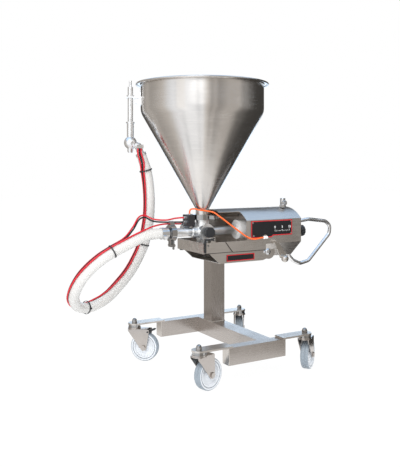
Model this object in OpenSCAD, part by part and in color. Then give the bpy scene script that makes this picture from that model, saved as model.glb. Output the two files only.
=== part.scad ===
// Pneumatic filling machine on a castor stand: a cone hopper over a rotary valve,
// a small product cylinder driven by an air cylinder, and a hose to a hand nozzle.
// Millimetres. +X points to the handle, -Y to the front, +Z up, floor at Z = 0.

/* [Stand] */
// Width and depth of the square column
column_w = 60; // [40:1:80]
// Length of the column
column_h = 252; // [120:1:600]
// Wall of the column, the cross beam and the legs
tube_wall = 2.5; // [1.5:0.5:4]
// Height of the legs and the cross beam
beam_h = 60; // [40:1:80]
// Depth of each leg, front to back
leg_t = 40; // [30:1:60]
// Distance from the column's middle to the front leg's middle
front_leg_reach = 355; // [250:1:440]
// Distance from the column's middle to the rear leg's middle
rear_leg_reach = 95; // [80:1:200]
// Distance from the column's middle to the front leg's left end
front_leg_left = 168; // [120:1:172]
// Distance from the column's middle to the rear leg's left end
rear_leg_left = 196; // [120:1:200]
// Distance from the column's middle to the legs' right ends
leg_right = 65; // [40:1:68]
// Thickness of the plates that close the legs' ends
end_plate_t = 3; // [2:0.5:6]
// Length of a castor's mounting plate on top of the leg
plate_lap = 14; // [8:1:30]

/* [Castors] */
// Diameter of a castor wheel
wheel_d = 108; // [80:1:120]
// Width of a castor wheel's tread
wheel_w = 30; // [24:1:36]
// Castor height, from the floor to the underside of its mounting plate
castor_h = 137; // [125:1:165]
// Distance from the swivel axis to the wheel's axle
castor_trail = 43; // [25:1:46]
// Width of a castor's mounting plate
castor_plate_w = 50; // [46:1:60]
// Thickness of a castor's mounting plate
castor_plate_t = 6; // [4:0.5:10]
// Distances of the stems from the column's middle: front left, front right, rear left, rear right
stem_reach = [276, 170, 304, 184];
// Radius of a wheel's axle bolt
axle_r = 6; // [5:0.5:7]
// Radius of a castor's king pin and threaded stem
king_pin_r = 6; // [5:0.5:8]
// Thickness of a fork's sheet
fork_t = 2.5; // [2:0.5:4]

/* [Cradle and pan] */
// Height of the cradle's side plates
cradle_h = 40; // [30:1:60]
// Sheet thickness of the cradle
cradle_t = 3; // [2:0.5:5]
// Depth of the pan and the housing, front to back
pan_w = 200; // [190:1:240]
// Distance from the column's middle forward to the machine's middle plane
machine_forward = 80; // [60:1:110]
// Distance from the column's middle to the pan's left end
pan_left = 155; // [140:1:200]
// Distance from the column's middle to the pan's right end
pan_right = 123; // [110:1:123]
// Height of the pan's walls
pan_h = 40; // [30:1:45]
// Sheet thickness of the pan and the housing
sheet_t = 2; // [1:0.5:3]

/* [Housing] */
// Distance from the column's middle to the housing's left edge
housing_left = 34; // [20:1:60]
// Distance from the column's middle to the back plate
housing_right = 293; // [290:1:340]
// Height of the housing's front wall
housing_wall_h = 75; // [70:1:90]
// Rise of the arched roof above the walls
roof_rise = 41; // [30:1:60]
// Depth of the shroud below the housing
shroud_h = 76; // [60:1:78]
// Depth of the shroud's flat bottom
shroud_floor_w = 72; // [50:1:120]
// Thickness of the bulkheads
bulkhead_t = 3; // [2:0.5:5]

/* [Piston and cylinders] */
// Height of the product axis above the pan's underside
product_rise = 73; // [68:1:83]
// Bore radius of the product cylinder
product_bore_r = 14; // [10:0.5:15]
// Wall of the product cylinder
product_wall = 3; // [2:0.5:3]
// Stroke of both pistons
stroke = 80; // [30:1:80]
// Bore radius of the air cylinder
air_bore_r = 43; // [41:1:44]
// Wall of the air cylinder
air_wall = 3; // [2:0.5:3]
// Radius of the piston rod
rod_r = 8; // [5:0.5:9]
// Radial clearance of every piston, plug, rod and pin in its bore
fit = 0.06; // [0.03:0.01:0.1]

/* [Stroke adjuster] */
// Radius of the stroke knob
knob_r = 23; // [15:1:23]
// Length of the stroke knob
knob_len = 21; // [15:1:30]
// Radius of the adjuster's spindle
spindle_r = 7; // [5:0.5:7]
// Distance of the spindle's axis forward of the product axis
spindle_forward = 25; // [25:1:26]
// Distance of the spindle's axis below the product axis
spindle_drop = 17; // [16:1:18]
// Distance from the back plate to the knob at rest
knob_gap = 49; // [46:1:60]

/* [Valve] */
// Distance from the column's middle to the valve's and the hopper's axis
valve_left = 101.5; // [98:0.5:105]
// Radius of the valve body
valve_r = 28; // [26:0.5:30]
// Radius of the valve plug
plug_r = 20; // [17:0.5:21]
// Length of the valve body, front to back
valve_len = 78; // [70:1:84]
// Bore radius of the valve's ports and the outlet
port_r = 13; // [10:0.5:14]
// Radius of the black valve knob
valve_knob_r = 20.5; // [15:0.5:24]

/* [Hopper] */
// Outer radius of the hopper's straight wall
hopper_r = 234; // [150:1:260]
// Height of the hopper's cone
cone_h = 366; // [250:1:450]
// Height of the hopper's straight wall
hopper_wall_h = 109; // [60:1:200]
// Sheet thickness of the hopper
hopper_t = 2; // [1.5:0.5:3]
// Width of the hopper's turned-out rim
rim_w = 15; // [10:1:20]
// Radius of the rolled bead at the rim's edge
bead_r = 3.5; // [2.5:0.5:5]
// Outer radius of the hopper's neck tube
neck_r = 25.4; // [20:0.1:26]
// Length of the hopper's neck tube
neck_h = 29; // [20:1:50]

/* [Clamps and hose] */
// Thickness of a ferrule's rim
ferrule_t = 3; // [2:0.5:4]
// Thickness of a clamp's gasket
gasket_t = 2; // [1.5:0.5:3]
// Radius of the hopper's ferrule
hopper_ferrule_r = 32; // [30:0.5:33]
// Radius of the outlet's ferrule
outlet_ferrule_r = 25; // [23:0.5:26]
// Height of a clamp ring
clamp_h = 20; // [16:1:22]
// Length of the outlet tube
outlet_len = 92; // [60:1:92]
// Outer radius of the outlet tube
outlet_r = 16.25; // [15.5:0.25:18]
// Outer radius of the hose
hose_r = 19; // [18:0.5:20]
// Outer radius of an air tube
air_tube_r = 3; // [2:0.5:3]

/* [Nozzle] */
// Bearing of the nozzle around the hopper, from +X towards the back
nozzle_bearing = 150; // [149:1:151]
// Gap between the hopper's wall and the nozzle's axis
nozzle_reach = 40; // [38:1:42]
// Radius of the nozzle's body
nozzle_body_r = 24; // [20:1:25]
// Radius of the nozzle's long tube
spout_r = 10; // [8:0.5:11]
// Radius of the thin filling tip
tip_r = 5; // [3:0.5:6]
// Travel of the nozzle's push button
button_travel = 5; // [3:0.5:6]

/* [Handle] */
// Radius of the handle's round bar
handle_r = 7.5; // [6:0.5:8]
// Bend radius of the handle at its middle line
handle_bend = 26; // [20:1:30]

/* [Hidden] */
$fn = 64;
eps = 0.01;
// Gap between parts of one body that seat on a curve, and between free neighbours
seat = 0.2;
gap = 0.3;

steel = [0.66, 0.64, 0.62];
bright = [0.80, 0.80, 0.81];
white = [0.94, 0.94, 0.92];
black = [0.07, 0.07, 0.08];
red = [0.78, 0.10, 0.14];
orange = [0.93, 0.36, 0.12];
rubber_black = [0.05, 0.05, 0.05];

// The column stands here, so that the origin is under the middle of the whole outline
column_x = -88.84;
column_y = 99.12;

// Heights of the stand
beam_top = castor_h;
beam_z = beam_top - beam_h;
cradle_z = beam_top + column_h;
pan_z = cradle_z + cradle_h;
rim_z = pan_z + pan_h;
axis_z = pan_z + product_rise;

// Castors: left or right side, and the direction in which each one trails at rest
leg_y = [-front_leg_reach, -front_leg_reach, rear_leg_reach, rear_leg_reach];
leg_end = [-front_leg_left, leg_right, -rear_leg_left, leg_right];
side = [-1, 1, -1, 1];
heading = [14, 35, -45, 60];
wheel_r = wheel_d / 2;
fork_in = wheel_w / 2 + 3;
fork_top = wheel_r + castor_h / 2;
raceway_z = fork_top + 5;
raceway_r = 23;
pin_head_r = 9;
pin_head_h = 5;
pin_head_z = fork_top - 3 - gap - pin_head_h;
fork_half = fork_in + fork_t;
hub_half = fork_in - gap;
plate_top = castor_h + castor_plate_t;
stem_end = plate_top + 13;
ear_x = castor_trail + 17;
ear_z = fork_top - 8.8;
pedal_pin_r = 3;
pedal_half_w = 11;

// Machine frame
saddle_t = 1.2;
my = -machine_forward;
front_y = my - pan_w / 2;
back_y = my + pan_w / 2;
eave_z = rim_z + housing_wall_h;
roof_r = (pow(pan_w / 2, 2) + pow(roof_rise, 2)) / (2 * roof_rise);
roof_axis_z = eave_z + roof_rise - roof_r;
// The roof goes on over the valve's side, from this line backwards
guard_left = -60;
guard_front_y = my - 50;
shroud_z = rim_z - shroud_h;
shroud_lip = 18;
bulkhead_x = pan_right + 0.5;
back_x = housing_right;
cradle_front = front_y;
cradle_back = back_y + 6;
cradle_bottom_left = 84.5;
cradle_bottom_right = 110;
cradle_end_r = 29;
cradle_end_x = 138;

// Cylinders along the product axis
valve_x = -valve_left;
product_out_r = product_bore_r + product_wall;
port_boss_r = product_out_r + 4;
product_start = valve_x + valve_r + 7.5;
piston_len = 20;
piston_start = product_start + 1;
air_out_r = air_bore_r + air_wall;
cap_t = 12;
front_cap_x = bulkhead_x + bulkhead_t + 5.5;
air_x = front_cap_x + cap_t;
air_piston_t = 18;
air_piston_x = air_x + 0.5;
pad_x = air_piston_x + air_piston_t + stroke + 0.5;
pad_t = 5;
pad_r = 9;
rear_cap_x = pad_x + pad_t + 2;
air_len = rear_cap_x - air_x;
spindle_y = my - spindle_forward;
spindle_z = axis_z - spindle_drop;
knob_x = back_x + bulkhead_t + knob_gap;
collar_x = 52;
collar_len = 46;
collar_r = 37.5;

// Valve
valve_front_y = my - 38;
valve_back_y = valve_front_y + valve_len;
cap_wall = 4;
stem_r = 8;
plug_front_y = valve_front_y + cap_wall + gap;
knob_front_y = valve_front_y - 24;

// Hopper stack on the valve; the ferrule's height is measured from the product axis
neck_in_r = neck_r - 2.4;
valve_ferrule_h = 51;
valve_ferrule_z = axis_z + valve_ferrule_h;
hopper_gasket_z = valve_ferrule_z + ferrule_t;
hopper_z = hopper_gasket_z + gasket_t;
cone_z = hopper_z + neck_h;
wall_z = cone_z + cone_h;
rim_top = wall_z + hopper_wall_h;
hopper_clamp_z = hopper_gasket_z + gasket_t / 2;
hopper_clamp_turn = -60;
hopper_clamp_r = hopper_ferrule_r + 6;

// Outlet stack to the left of the valve
outlet_x = valve_x - valve_r - 12;
outlet_end = outlet_x - outlet_len;
outlet_gasket_x = outlet_end - gasket_t;
fitting_x = outlet_gasket_x - ferrule_t;
outlet_clamp_x = outlet_end - gasket_t / 2;
outlet_clamp_r = outlet_ferrule_r + 6;
hose_x = fitting_x - 19;

// Clamp hardware
bolt_r = 4;
hinge_pin_r = 2.5;
lug_w = 11;
lug_out = 20;
wing_gap = 1;
wing_r = 7;
wing_t = 8;

// Nozzle
nozzle_dist = hopper_r + nozzle_reach;
nozzle_x = valve_x + nozzle_dist * cos(nozzle_bearing);
nozzle_y = my + nozzle_dist * sin(nozzle_bearing);
// The hook's shelf stands above the cone's top edge, and the nozzle hangs from it by the tube's collar
hook_rise = 56;
hook_z = wall_z + hook_rise;
hook_t = 4;
spout_below = 170;
spout_above = 42;
nozzle_z = hook_z - spout_below;
spout_top = hook_z + spout_above;
tip_len = 24;
tip_top = spout_top + tip_len;
button_drop = 35;
button_cap_h = 3;
// The side port's elbow stands off the body's middle, and its outlet points down
port_corner = [27, -13, -14];
port_tilt = 160;
port_turn = -7;
port_drop = 38;
port_dir = [sin(port_tilt) * cos(port_turn), sin(port_tilt) * sin(port_turn), cos(port_tilt)];
port_out_r = 13;
port_in_r = 9;
elbow_bulge = 1;
hose_end = [nozzle_x, nozzle_y, nozzle_z] + port_corner + port_drop * port_dir;

// Distance from a clamp's outside to its bolt
bolt_off = 14;
// Rounding between the hopper's cone and wall
shoulder_r = 60;
cone_angle = atan2(hopper_r - neck_r, cone_h);

// Points given with their height above the pan's underside
function over_pan(points) = [for (p = points)
    len(p) == 2 ? [p[0], p[1] + pan_z] : [p[0], p[1], p[2] + pan_z]];

// Adjuster, handle, lever and latch
handle_path = over_pan([[back_x + bulkhead_t, 81], [308, 81], [357, 92], [416, 99], [508, 87], [535, 69],
    [530, 32], [416, -75], [370, -84], [335, -69], [310, -45], [313, 3], [back_x + bulkhead_t, 3]]);
last_bend = 14;
lever_x = 165;
lever_z = rim_z - 10;
lever_pin_r = 4;
latch_x = -115;
latch_z = rim_z + 12;
latch_pin_r = 3;

// Air fittings
inlet_x = 258;
inlet_y = my - 30;
// The inlet's foot just clears the roof's highest line under it
inlet_z = roof_axis_z + sqrt(pow(roof_r, 2) - pow(my - inlet_y - 13, 2)) + seat;
inlet_port_z = inlet_z + 18;
inlet_bore_r = 5.7;
elbow_x = 121;
elbow_z = rim_z + 8;
block_x = -172;
block_z = axis_z + port_boss_r + seat;
block_top = pan_z + 138;
block_ports = [[0, pan_z + 128], [0, pan_z + 112], [18, pan_z + 104]];
// The control plate: its left and right ends, its cut corner and step, and its screws as X and Z
plate_left = housing_left + 20;
plate_right = back_x - 43;
plate_cut = 8;
plate_step = plate_left + 96;
plate_low = rim_z + 6;
plate_high = rim_z + 72;
label_screws = [[plate_left + 7, plate_high - 7], [plate_right - 7, plate_high - 7],
    [plate_right - 7, plate_low + 13], [plate_left + 11, plate_low + 9]];
// The lower plate, on the cradle's front
low_plate_left = 56;
low_plate_w = 125;
low_plate_h = 25;

// Routes, as X and Y from the column's middle and the height above the pan's underside.
// First the hose, from the fitting to the nozzle
hose_route = concat(over_pan([
    [hose_x, my, product_rise], [-290, my, product_rise], [-332, -84, 70], [-378, -89, 56], [-425, -89, 37],
    [-469, -86, 17], [-508, -80, -6], [-541, -70, -34], [-567, -52, -69], [-580, -21, -112],
    [-576, 17, -154], [-548, 53, -190], [-506, 75, -204], [-458, 87, -197], [-410, 95, -175],
    [-366, 94, -135], [-326, 89, -88], [-296, 81, -35], [-275, 71, 19], [-264, 63, 74],
    [-260, 53, 132], [-261, 47, 191], [-268, 42, 252], [-280, 39, 306]]),
    [hose_end + 26 * port_dir, hose_end]
);
// Three air tubes lie on the hose. Each pair is a hose point and a bearing around it,
// measured for the middle tube; the other two lie on both sides of that one
lay_r = hose_r + air_tube_r + 1.2;
lay_step = 17;
lay = [[5, 90], [6, 92], [7, 92], [8, 82], [9, 64], [10, 40], [11, 12], [12, -18], [13, -48], [14, -74],
    [15, -90], [16, -94], [17, -92], [18, -90], [19, -90], [20, -90], [21, -92], [22, -98], [23, -112]];
lower_lay = [[2, 90], [3, 102], [4, 107]];
// Where the tubes leave the block by the valve, and where they end on the nozzle
upper_lead = over_pan([[block_x - 12, my, 128], [block_x - 24, my, 128], [-215, -72, 126], [-245, -60, 120],
    [-289, -36, 124], [-316, -19, 138], [-338, -22, 133], [-378, -51, 98], [-420, -71, 64]]);
middle_lead = over_pan([[block_x - 12, my, 112], [block_x - 24, my, 112], [-215, -72, 112], [-245, -60, 112],
    [-289, -37, 116], [-316, -21, 130], [-338, -26, 125], [-378, -57, 91], [-420, -80, 62]]);
lower_lead = over_pan([[block_x - 12, -62, 104], [block_x - 24, -62, 104], [-215, -60, 105], [-260, -60, 105],
    [-300, -67, 100]]);
nozzle_block_z = nozzle_z - 22;
tube_ends = [[-311, 19], [-318, 19], [-325, 19]];
orange_route = concat([[elbow_x - 17, front_y - 10, elbow_z], [94, front_y - 10, elbow_z]], over_pan([
    [75, -190, 45], [55, -190, 45], [28, -187, 56], [5, -177, 74], [-25, -160, 100], [-57, -142, 128], [-80, -125, 147],
    [-101, -112, 152], [-125, -101, 156], [-143, -91, 160], [-154, -83, 158], [-157, -80, 150],
    [-157, -80, 142]]));
// Hose points that carry a cable tie, with the tubes' bearing there
ties = [[5, 90], [12, -18], [18, -90], [23, -112]];
tie_shift = 3.6;

function unit(v) = v / norm(v);

// Places of the groups
module at_column() translate([column_x, column_y, 0]) children();
module at_castor(i) at_column() translate([side[i] * stem_reach[i], leg_y[i], 0])
    rotate([0, 0, heading[i]]) children();
module at_valve() at_column() translate([valve_x, my, 0]) children();
module at_nozzle() at_column() translate([nozzle_x, nozzle_y, 0]) children();

// A bar along X, and a disc or a ring across X
module bar(x, y, z) translate([x[0], y[0], z[0]]) cube([x[1] - x[0], y[1] - y[0], z[1] - z[0]]);
module rod_x(x0, x1, r, y = my, z = axis_z)
    translate([x0, y, z]) rotate([0, 90, 0]) cylinder(h = x1 - x0, r = r);
module rod_y(y0, y1, r, x, z)
    translate([x, y1, z]) rotate([90, 0, 0]) cylinder(h = y1 - y0, r = r);
module ring(r0, r1, h) difference() {
    cylinder(h = h, r = r1);
    translate([0, 0, -1]) cylinder(h = h + 2, r = r0);
}
module tube_x(x0, x1, r0, r1, y = my, z = axis_z)
    translate([x0, y, z]) rotate([0, 90, 0]) ring(r0, r1, x1 - x0);
// An outline drawn in X and Z, spread from y0 to y1
module across_y(y0, y1) translate([0, y1, 0]) rotate([90, 0, 0]) linear_extrude(y1 - y0) children();
// An outline drawn in Y and Z, spread from x0 to x1
module across_x(x0, x1) translate([x0, 0, 0]) rotate([90, 0, 90]) linear_extrude(x1 - x0) children();

// A square tube along X, Y or Z
module box_tube(x, y, z, along) {
    w = tube_wall;
    difference() {
        bar(x, y, z);
        if (along == "x") bar([x[0] - 1, x[1] + 1], [y[0] + w, y[1] - w], [z[0] + w, z[1] - w]);
        if (along == "y") bar([x[0] + w, x[1] - w], [y[0] - 1, y[1] + 1], [z[0] + w, z[1] - w]);
        if (along == "z") bar([x[0] + w, x[1] - w], [y[0] + w, y[1] - w], [z[0] - 1, z[1] + 1]);
    }
}

// The stand
module leg(left, y) color(steel) at_column()
    box_tube([-left, leg_right], [y - leg_t / 2, y + leg_t / 2], [beam_z, beam_top], "x");
module front_leg() leg(front_leg_left, -front_leg_reach);
module rear_leg() leg(rear_leg_left, rear_leg_reach);
module cross_beam()
    color(steel) at_column() box_tube([-column_w / 2, column_w / 2],
        [-front_leg_reach + leg_t / 2, rear_leg_reach - leg_t / 2], [beam_z, beam_top], "y");
module column()
    color(steel) at_column() box_tube([-column_w / 2, column_w / 2], [-column_w / 2, column_w / 2],
        [beam_top, cradle_z], "z");

// Each leg end has a closing plate, and on top of it lies the castor's mounting plate
module castor_plates() color(steel) for (i = [0:3]) {
    x0 = leg_end[i];
    x1 = side[i] * stem_reach[i];
    out = x0 + side[i] * end_plate_t;
    lap = out - side[i] * plate_lap;
    at_column() bar([min(x0, out), max(x0, out)], [leg_y[i] - leg_t / 2, leg_y[i] + leg_t / 2],
        [beam_z, beam_top]);
    at_column() translate([0, leg_y[i], castor_h]) difference() {
        linear_extrude(castor_plate_t) {
            translate([min(lap, x1), -castor_plate_w / 2]) square([abs(x1 - lap), castor_plate_w]);
            translate([x1, 0]) circle(r = castor_plate_w / 2);
        }
        translate([x1, 0, -1]) cylinder(h = castor_plate_t + 2, r = king_pin_r + seat);
    }
}
// Fixed raceway, king pin with its head below the fork, and threaded stem above
module castor_stems() color(bright) for (i = [0:3]) at_castor(i) {
    translate([0, 0, raceway_z + gap]) cylinder(h = castor_h - raceway_z - gap, r = raceway_r);
    translate([0, 0, pin_head_z]) cylinder(h = pin_head_h, r = pin_head_r);
    translate([0, 0, pin_head_z]) cylinder(h = stem_end - pin_head_z, r = king_pin_r);
}
module castor_nuts() color(bright) for (i = [0:3]) at_castor(i) translate([0, 0, plate_top]) difference() {
    union() {
        cylinder(h = 8, r = king_pin_r + 4.5, $fn = 6);
        translate([0, 0, 8]) rotate_extrude() intersection() {
            circle(r = king_pin_r + 3);
            square(king_pin_r + 4);
        }
    }
    translate([0, 0, -1]) cylinder(h = stem_end - plate_top + 1 + gap, r = king_pin_r + seat);
}

// A fork with its axle bolt; the braked one has ears for the pedal's pin
module fork_leg(ear) difference() {
    union() {
        polygon([[-20, fork_top - 8], [-20, fork_top], [ear ? ear_x + 5 : castor_trail + 11, fork_top],
            [ear ? ear_x + 5 : castor_trail + 11, fork_top - 12], [castor_trail + 12.6, wheel_r + 3],
            [castor_trail - 11.4, wheel_r - 6]]);
        translate([castor_trail, wheel_r]) circle(r = 13);
    }
    translate([castor_trail, wheel_r]) circle(r = axle_r + fit);
    if (ear) translate([ear_x, ear_z]) circle(r = pedal_pin_r + fit);
}
module axle_bolt() {
    rod_y(-fork_half - 5, -fork_half - gap, axle_r + 3, castor_trail, wheel_r, $fn = 6);
    rod_y(-fork_half - 5, fork_half + 5, axle_r, castor_trail, wheel_r);
    difference() {
        rod_y(fork_half + gap, fork_half + 5, axle_r + 3, castor_trail, wheel_r, $fn = 6);
        rod_y(fork_half, fork_half + 6, axle_r - 1, castor_trail, wheel_r);
    }
}
module fork(i, ear = false) color(bright) at_castor(i) {
    difference() {
        union() {
            translate([0, 0, fork_top - 3]) linear_extrude(3) {
                circle(r = 26);
                translate([0, -fork_half]) square([castor_trail + 11, 2 * fork_half]);
            }
            translate([0, 0, fork_top]) cylinder(h = raceway_z - fork_top, r = raceway_r + 1.5);
            across_y(-fork_half, -fork_in) fork_leg(ear);
            across_y(fork_in, fork_half) fork_leg(ear);
        }
        translate([0, 0, fork_top - 4]) cylinder(h = 12, r = king_pin_r + fit);
    }
    axle_bolt();
}
module fork_front_left() fork(0);
module fork_front_right() fork(1);
module fork_rear_left() fork(2, true);
module fork_rear_right() fork(3);

// A wheel: bored hub, dished web, rim and a tread with rounded edges
module wheel(i) color(white) at_castor(i) translate([castor_trail, 0, wheel_r]) rotate([90, 0, 0])
    rotate_extrude($fn = 96) difference() {
        union() {
            translate([axle_r + fit, -hub_half]) square([8, 2 * hub_half]);
            translate([axle_r + 6, -6]) square([wheel_r - 14 - axle_r - 4, 12]);
            translate([wheel_r - 17, -wheel_w / 2 + 2]) square([9, wheel_w - 4]);
            translate([wheel_r - 11, -wheel_w / 2]) square([7, wheel_w]);
            translate([wheel_r - 6, -wheel_w / 2 + 4]) square([6, wheel_w - 8]);
            for (s = [-1, 1]) translate([wheel_r - 4, s * (wheel_w / 2 - 4)]) circle(r = 4, $fn = 32);
        }
        translate([-1, -wheel_w]) square([1 + axle_r + fit, 2 * wheel_w]);
    }
module wheel_front_left() wheel(0);
module wheel_front_right() wheel(1);
module wheel_rear_left() wheel(2);
module wheel_rear_right() wheel(3);

// The pedal turns on its own pin through the fork's ears; its cam stops just above the tread
module brake_pedal() color(black) at_castor(2) {
    across_y(-fork_in + gap, fork_in - gap) {
        translate([ear_x, ear_z]) circle(r = 4.8, $fn = 32);
        translate([ear_x + 0.7, ear_z - 5.1]) circle(r = 2.5, $fn = 32);
    }
    across_y(-pedal_half_w, pedal_half_w) translate([ear_x, ear_z]) rotate([0, 0, 18])
        polygon([[0, -2.5], [0, 3], [20, 4.5], [26, 2], [26, -1], [20, -1.5]]);
    rod_y(-fork_half - 3, fork_half + 3, pedal_pin_r, ear_x, ear_z);
}

// The cradle: a channel whose side plates end in a round nose on the right
module cradle_outline() {
    polygon([[-pan_left + 25, pan_z], [-cradle_bottom_left, cradle_z], [cradle_bottom_right, cradle_z],
        [cradle_end_x + 10, pan_z - cradle_h + 12], [cradle_end_x + 20, pan_z]]);
    intersection() {
        translate([cradle_end_x, pan_z - 8]) circle(r = cradle_end_r);
        translate([cradle_bottom_right, cradle_z]) square([80, cradle_h]);
    }
}
module cradle() color(steel) at_column() difference() {
    across_y(cradle_front, cradle_back) cradle_outline();
    bar([-pan_left, cradle_bottom_right + 100], [cradle_front + cradle_t, cradle_back - cradle_t],
        [cradle_z + cradle_t, pan_z + 1]);
    bar([cradle_bottom_right, cradle_bottom_right + 100], [cradle_front + cradle_t, cradle_back - cradle_t],
        [cradle_z - 1, pan_z + 1]);
    for (x = [118, 134]) rod_y(cradle_front - 1, cradle_front + cradle_t + 1, 4 + seat, x, pan_z - 8);
}

// The pan: an open tray, with the saddle sheet wrapped over its front
module base_pan() color(steel) at_column() difference() {
    union() {
        bar([-pan_left, pan_right], [front_y, back_y], [pan_z, rim_z]);
        across_y(front_y - saddle_t, front_y)
            polygon([[-60, rim_z], [-28, pan_z], [pan_right, pan_z], [pan_right, rim_z]]);
        bar([latch_x - 10, latch_x + 10], [front_y - 2, front_y], [rim_z - 22, latch_z + 8]);
        rod_y(front_y - 4 + gap, front_y - 2, 6, latch_x, latch_z);
        rod_y(front_y - 12, front_y - 2, latch_pin_r, latch_x, latch_z);
    }
    bar([-pan_left + sheet_t, pan_right - sheet_t], [front_y + sheet_t, back_y - sheet_t],
        [pan_z + sheet_t, rim_z + 1]);
    // The slot beside the latch
    bar([-pan_left + 17, -pan_left + 22], [front_y - 1, front_y + sheet_t + 1], [rim_z - 15, rim_z - 7]);
}
module pan_feet() color(rubber_black) at_column() for (y = [front_y + 12, back_y - 12])
    translate([-pan_left + 12, y, pan_z - 5]) cylinder(h = 5, r1 = 7, r2 = 9);

// The shroud: a sheet trough under the air cylinder
module shroud_outline(w) {
    top = pan_w / 2 - w;
    low = shroud_floor_w / 2 - w / 2;
    high = rim_z + (w > 0 ? 1 : 0);
    bend = rim_z - shroud_lip - w / 4;
    polygon([[my - top, high], [my - top, bend], [my - low, shroud_z + w],
        [my + low, shroud_z + w], [my + top, bend], [my + top, high]]);
}
module rear_shroud() color(steel) at_column() {
    difference() {
        across_x(bulkhead_x, back_x) shroud_outline(0);
        across_x(bulkhead_x - 1, back_x + 1) shroud_outline(sheet_t);
    }
    rod_y(front_y - 5, front_y, 8, lever_x, lever_z);
    rod_y(front_y - 14, front_y - 5, lever_pin_r, lever_x, lever_z);
}

// The housing: front and rear walls under one arched roof, cut away in front of the valve
module housing_outline(w) {
    below = w > 0 ? 1 : 0;
    translate([my - pan_w / 2 + w, rim_z - below]) square([pan_w - 2 * w, housing_wall_h + below]);
    intersection() {
        translate([my, roof_axis_z]) circle(r = roof_r - w, $fn = 160);
        translate([my - pan_w / 2 + w, eave_z - 1]) square([pan_w - 2 * w, roof_rise + 2]);
    }
}
module housing_cover() color(steel) at_column() difference() {
    union() {
        across_x(housing_left, back_x) housing_outline(0);
        across_x(guard_left, housing_left) intersection() {
            housing_outline(0);
            translate([guard_front_y, rim_z - 1]) square([pan_w, housing_wall_h + roof_rise + 2]);
        }
    }
    across_x(guard_left - 1, back_x + 1) housing_outline(sheet_t);
    translate([inlet_x, inlet_y, eave_z]) cylinder(h = 60, r = 6);
    rod_y(front_y - 1, front_y + sheet_t + 1, 4, elbow_x, elbow_z);
}
// The front bulkhead between the pan and the air cylinder, and the back plate
module bulkheads() color(steel) at_column() {
    difference() {
        across_x(bulkhead_x, bulkhead_x + bulkhead_t) intersection() {
            inner_outline();
            translate([my - pan_w, rim_z + seat]) square([2 * pan_w, housing_wall_h + roof_rise]);
        }
        rod_x(bulkhead_x - 1, bulkhead_x + bulkhead_t + 1, rod_r + 3);
    }
    difference() {
        across_x(back_x, back_x + bulkhead_t) {
            housing_outline(0);
            shroud_outline(0);
        }
        rod_x(back_x - 1, back_x + bulkhead_t + 1, spindle_r + 2, spindle_y, spindle_z);
    }
}
// The bulkhead's outline clears the cover by the seat gap
module inner_outline() {
    w = sheet_t + seat;
    translate([my - pan_w / 2 + w, rim_z]) square([pan_w - 2 * w, housing_wall_h]);
    intersection() {
        translate([my, roof_axis_z]) circle(r = roof_r - w, $fn = 160);
        translate([my - pan_w / 2 + w, eave_z - 1]) square([pan_w - 2 * w, roof_rise + 2]);
    }
}

// The control plate has a cut corner and a step; the lower plate is plain
module label_plates() color(black) at_column() {
    difference() {
        across_y(front_y - 1.5, front_y) polygon([[plate_left, plate_low + plate_cut],
            [plate_left + plate_cut, plate_low], [plate_step, plate_low],
            [plate_step + plate_cut, plate_low + 6], [plate_right, plate_low + 6],
            [plate_right, plate_high], [plate_left, plate_high]]);
        rod_y(front_y - 3, front_y + 1, 10, elbow_x, elbow_z);
        for (p = label_screws) rod_y(front_y - 3, front_y + 1, 1.7, p[0], p[1]);
    }
    across_y(front_y - 1.5, front_y)
        translate([-low_plate_left, pan_z - 9 - low_plate_h]) square([low_plate_w, low_plate_h]);
}
// A cap of a ball: base radius r, height h
module dome(r, h) {
    ball = (r * r + h * h) / (2 * h);
    rotate_extrude() intersection() {
        translate([0, h - ball]) circle(r = ball, $fn = 96);
        square(r + 1);
    }
}
module cover_screws() color(bright) at_column() {
    for (p = label_screws) {
        rod_y(front_y - 3, front_y - 1.5, 3, p[0], p[1]);
        rod_y(front_y - 1.5, front_y, 1.5, p[0], p[1]);
    }
    for (x = [118, 134]) translate([x, front_y, pan_z - 8]) rotate([90, 0, 0]) {
        big = x > 120;
        dome(big ? 13 : 6, big ? 7 : 4);
        translate([0, 0, -cradle_t - 6]) cylinder(h = cradle_t + 6, r = 4);
    }
}

// The drive: air cylinder, its two caps and the rod that carries both pistons
module air_cylinder() color(bright) at_column() tube_x(air_x, rear_cap_x, air_bore_r, air_out_r);
module cap(x)
    bar([x, x + cap_t], [my - air_out_r, my + air_out_r], [axis_z - air_out_r, axis_z + air_out_r]);
module cylinder_caps() color(bright) at_column() {
    difference() {
        cap(front_cap_x);
        rod_x(front_cap_x - 1, air_x + 1, rod_r + fit);
    }
    difference() {
        cap(rear_cap_x);
        rod_x(rear_cap_x - 1, rear_cap_x + cap_t + 1, spindle_r + fit, spindle_y, spindle_z);
    }
    for (y = [my - air_out_r + 7, my + air_out_r - 7], z = [axis_z - air_out_r + 7, axis_z + air_out_r - 7])
        rod_x(air_x, rear_cap_x, 4, y, z);
    // Feet that carry the caps on the front bulkhead and the back plate
    bar([bulkhead_x + bulkhead_t, front_cap_x], [my - 30, my - 20], [axis_z - 30, axis_z + 30]);
    bar([bulkhead_x + bulkhead_t, front_cap_x], [my + 20, my + 30], [axis_z - 30, axis_z + 30]);
}
module piston(x, len, r, groove_r) difference() {
    rod_x(x, x + len, r);
    rod_x(x - 1, x + len + 1, rod_r);
    tube_x(x + len / 2 - 2, x + len / 2 + 2, groove_r, r + 5);
}
module air_piston() color(bright) at_column()
    piston(air_piston_x, air_piston_t, air_bore_r - gap, air_bore_r - 4);
module product_piston() color(white) at_column() {
    piston(piston_start, piston_len, product_bore_r - gap, product_bore_r - 3);
    rod_x(piston_start, piston_start + 4, rod_r);
}
module piston_rod() color(bright) at_column() rod_x(piston_start + 4, air_piston_x + air_piston_t, rod_r);
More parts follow.
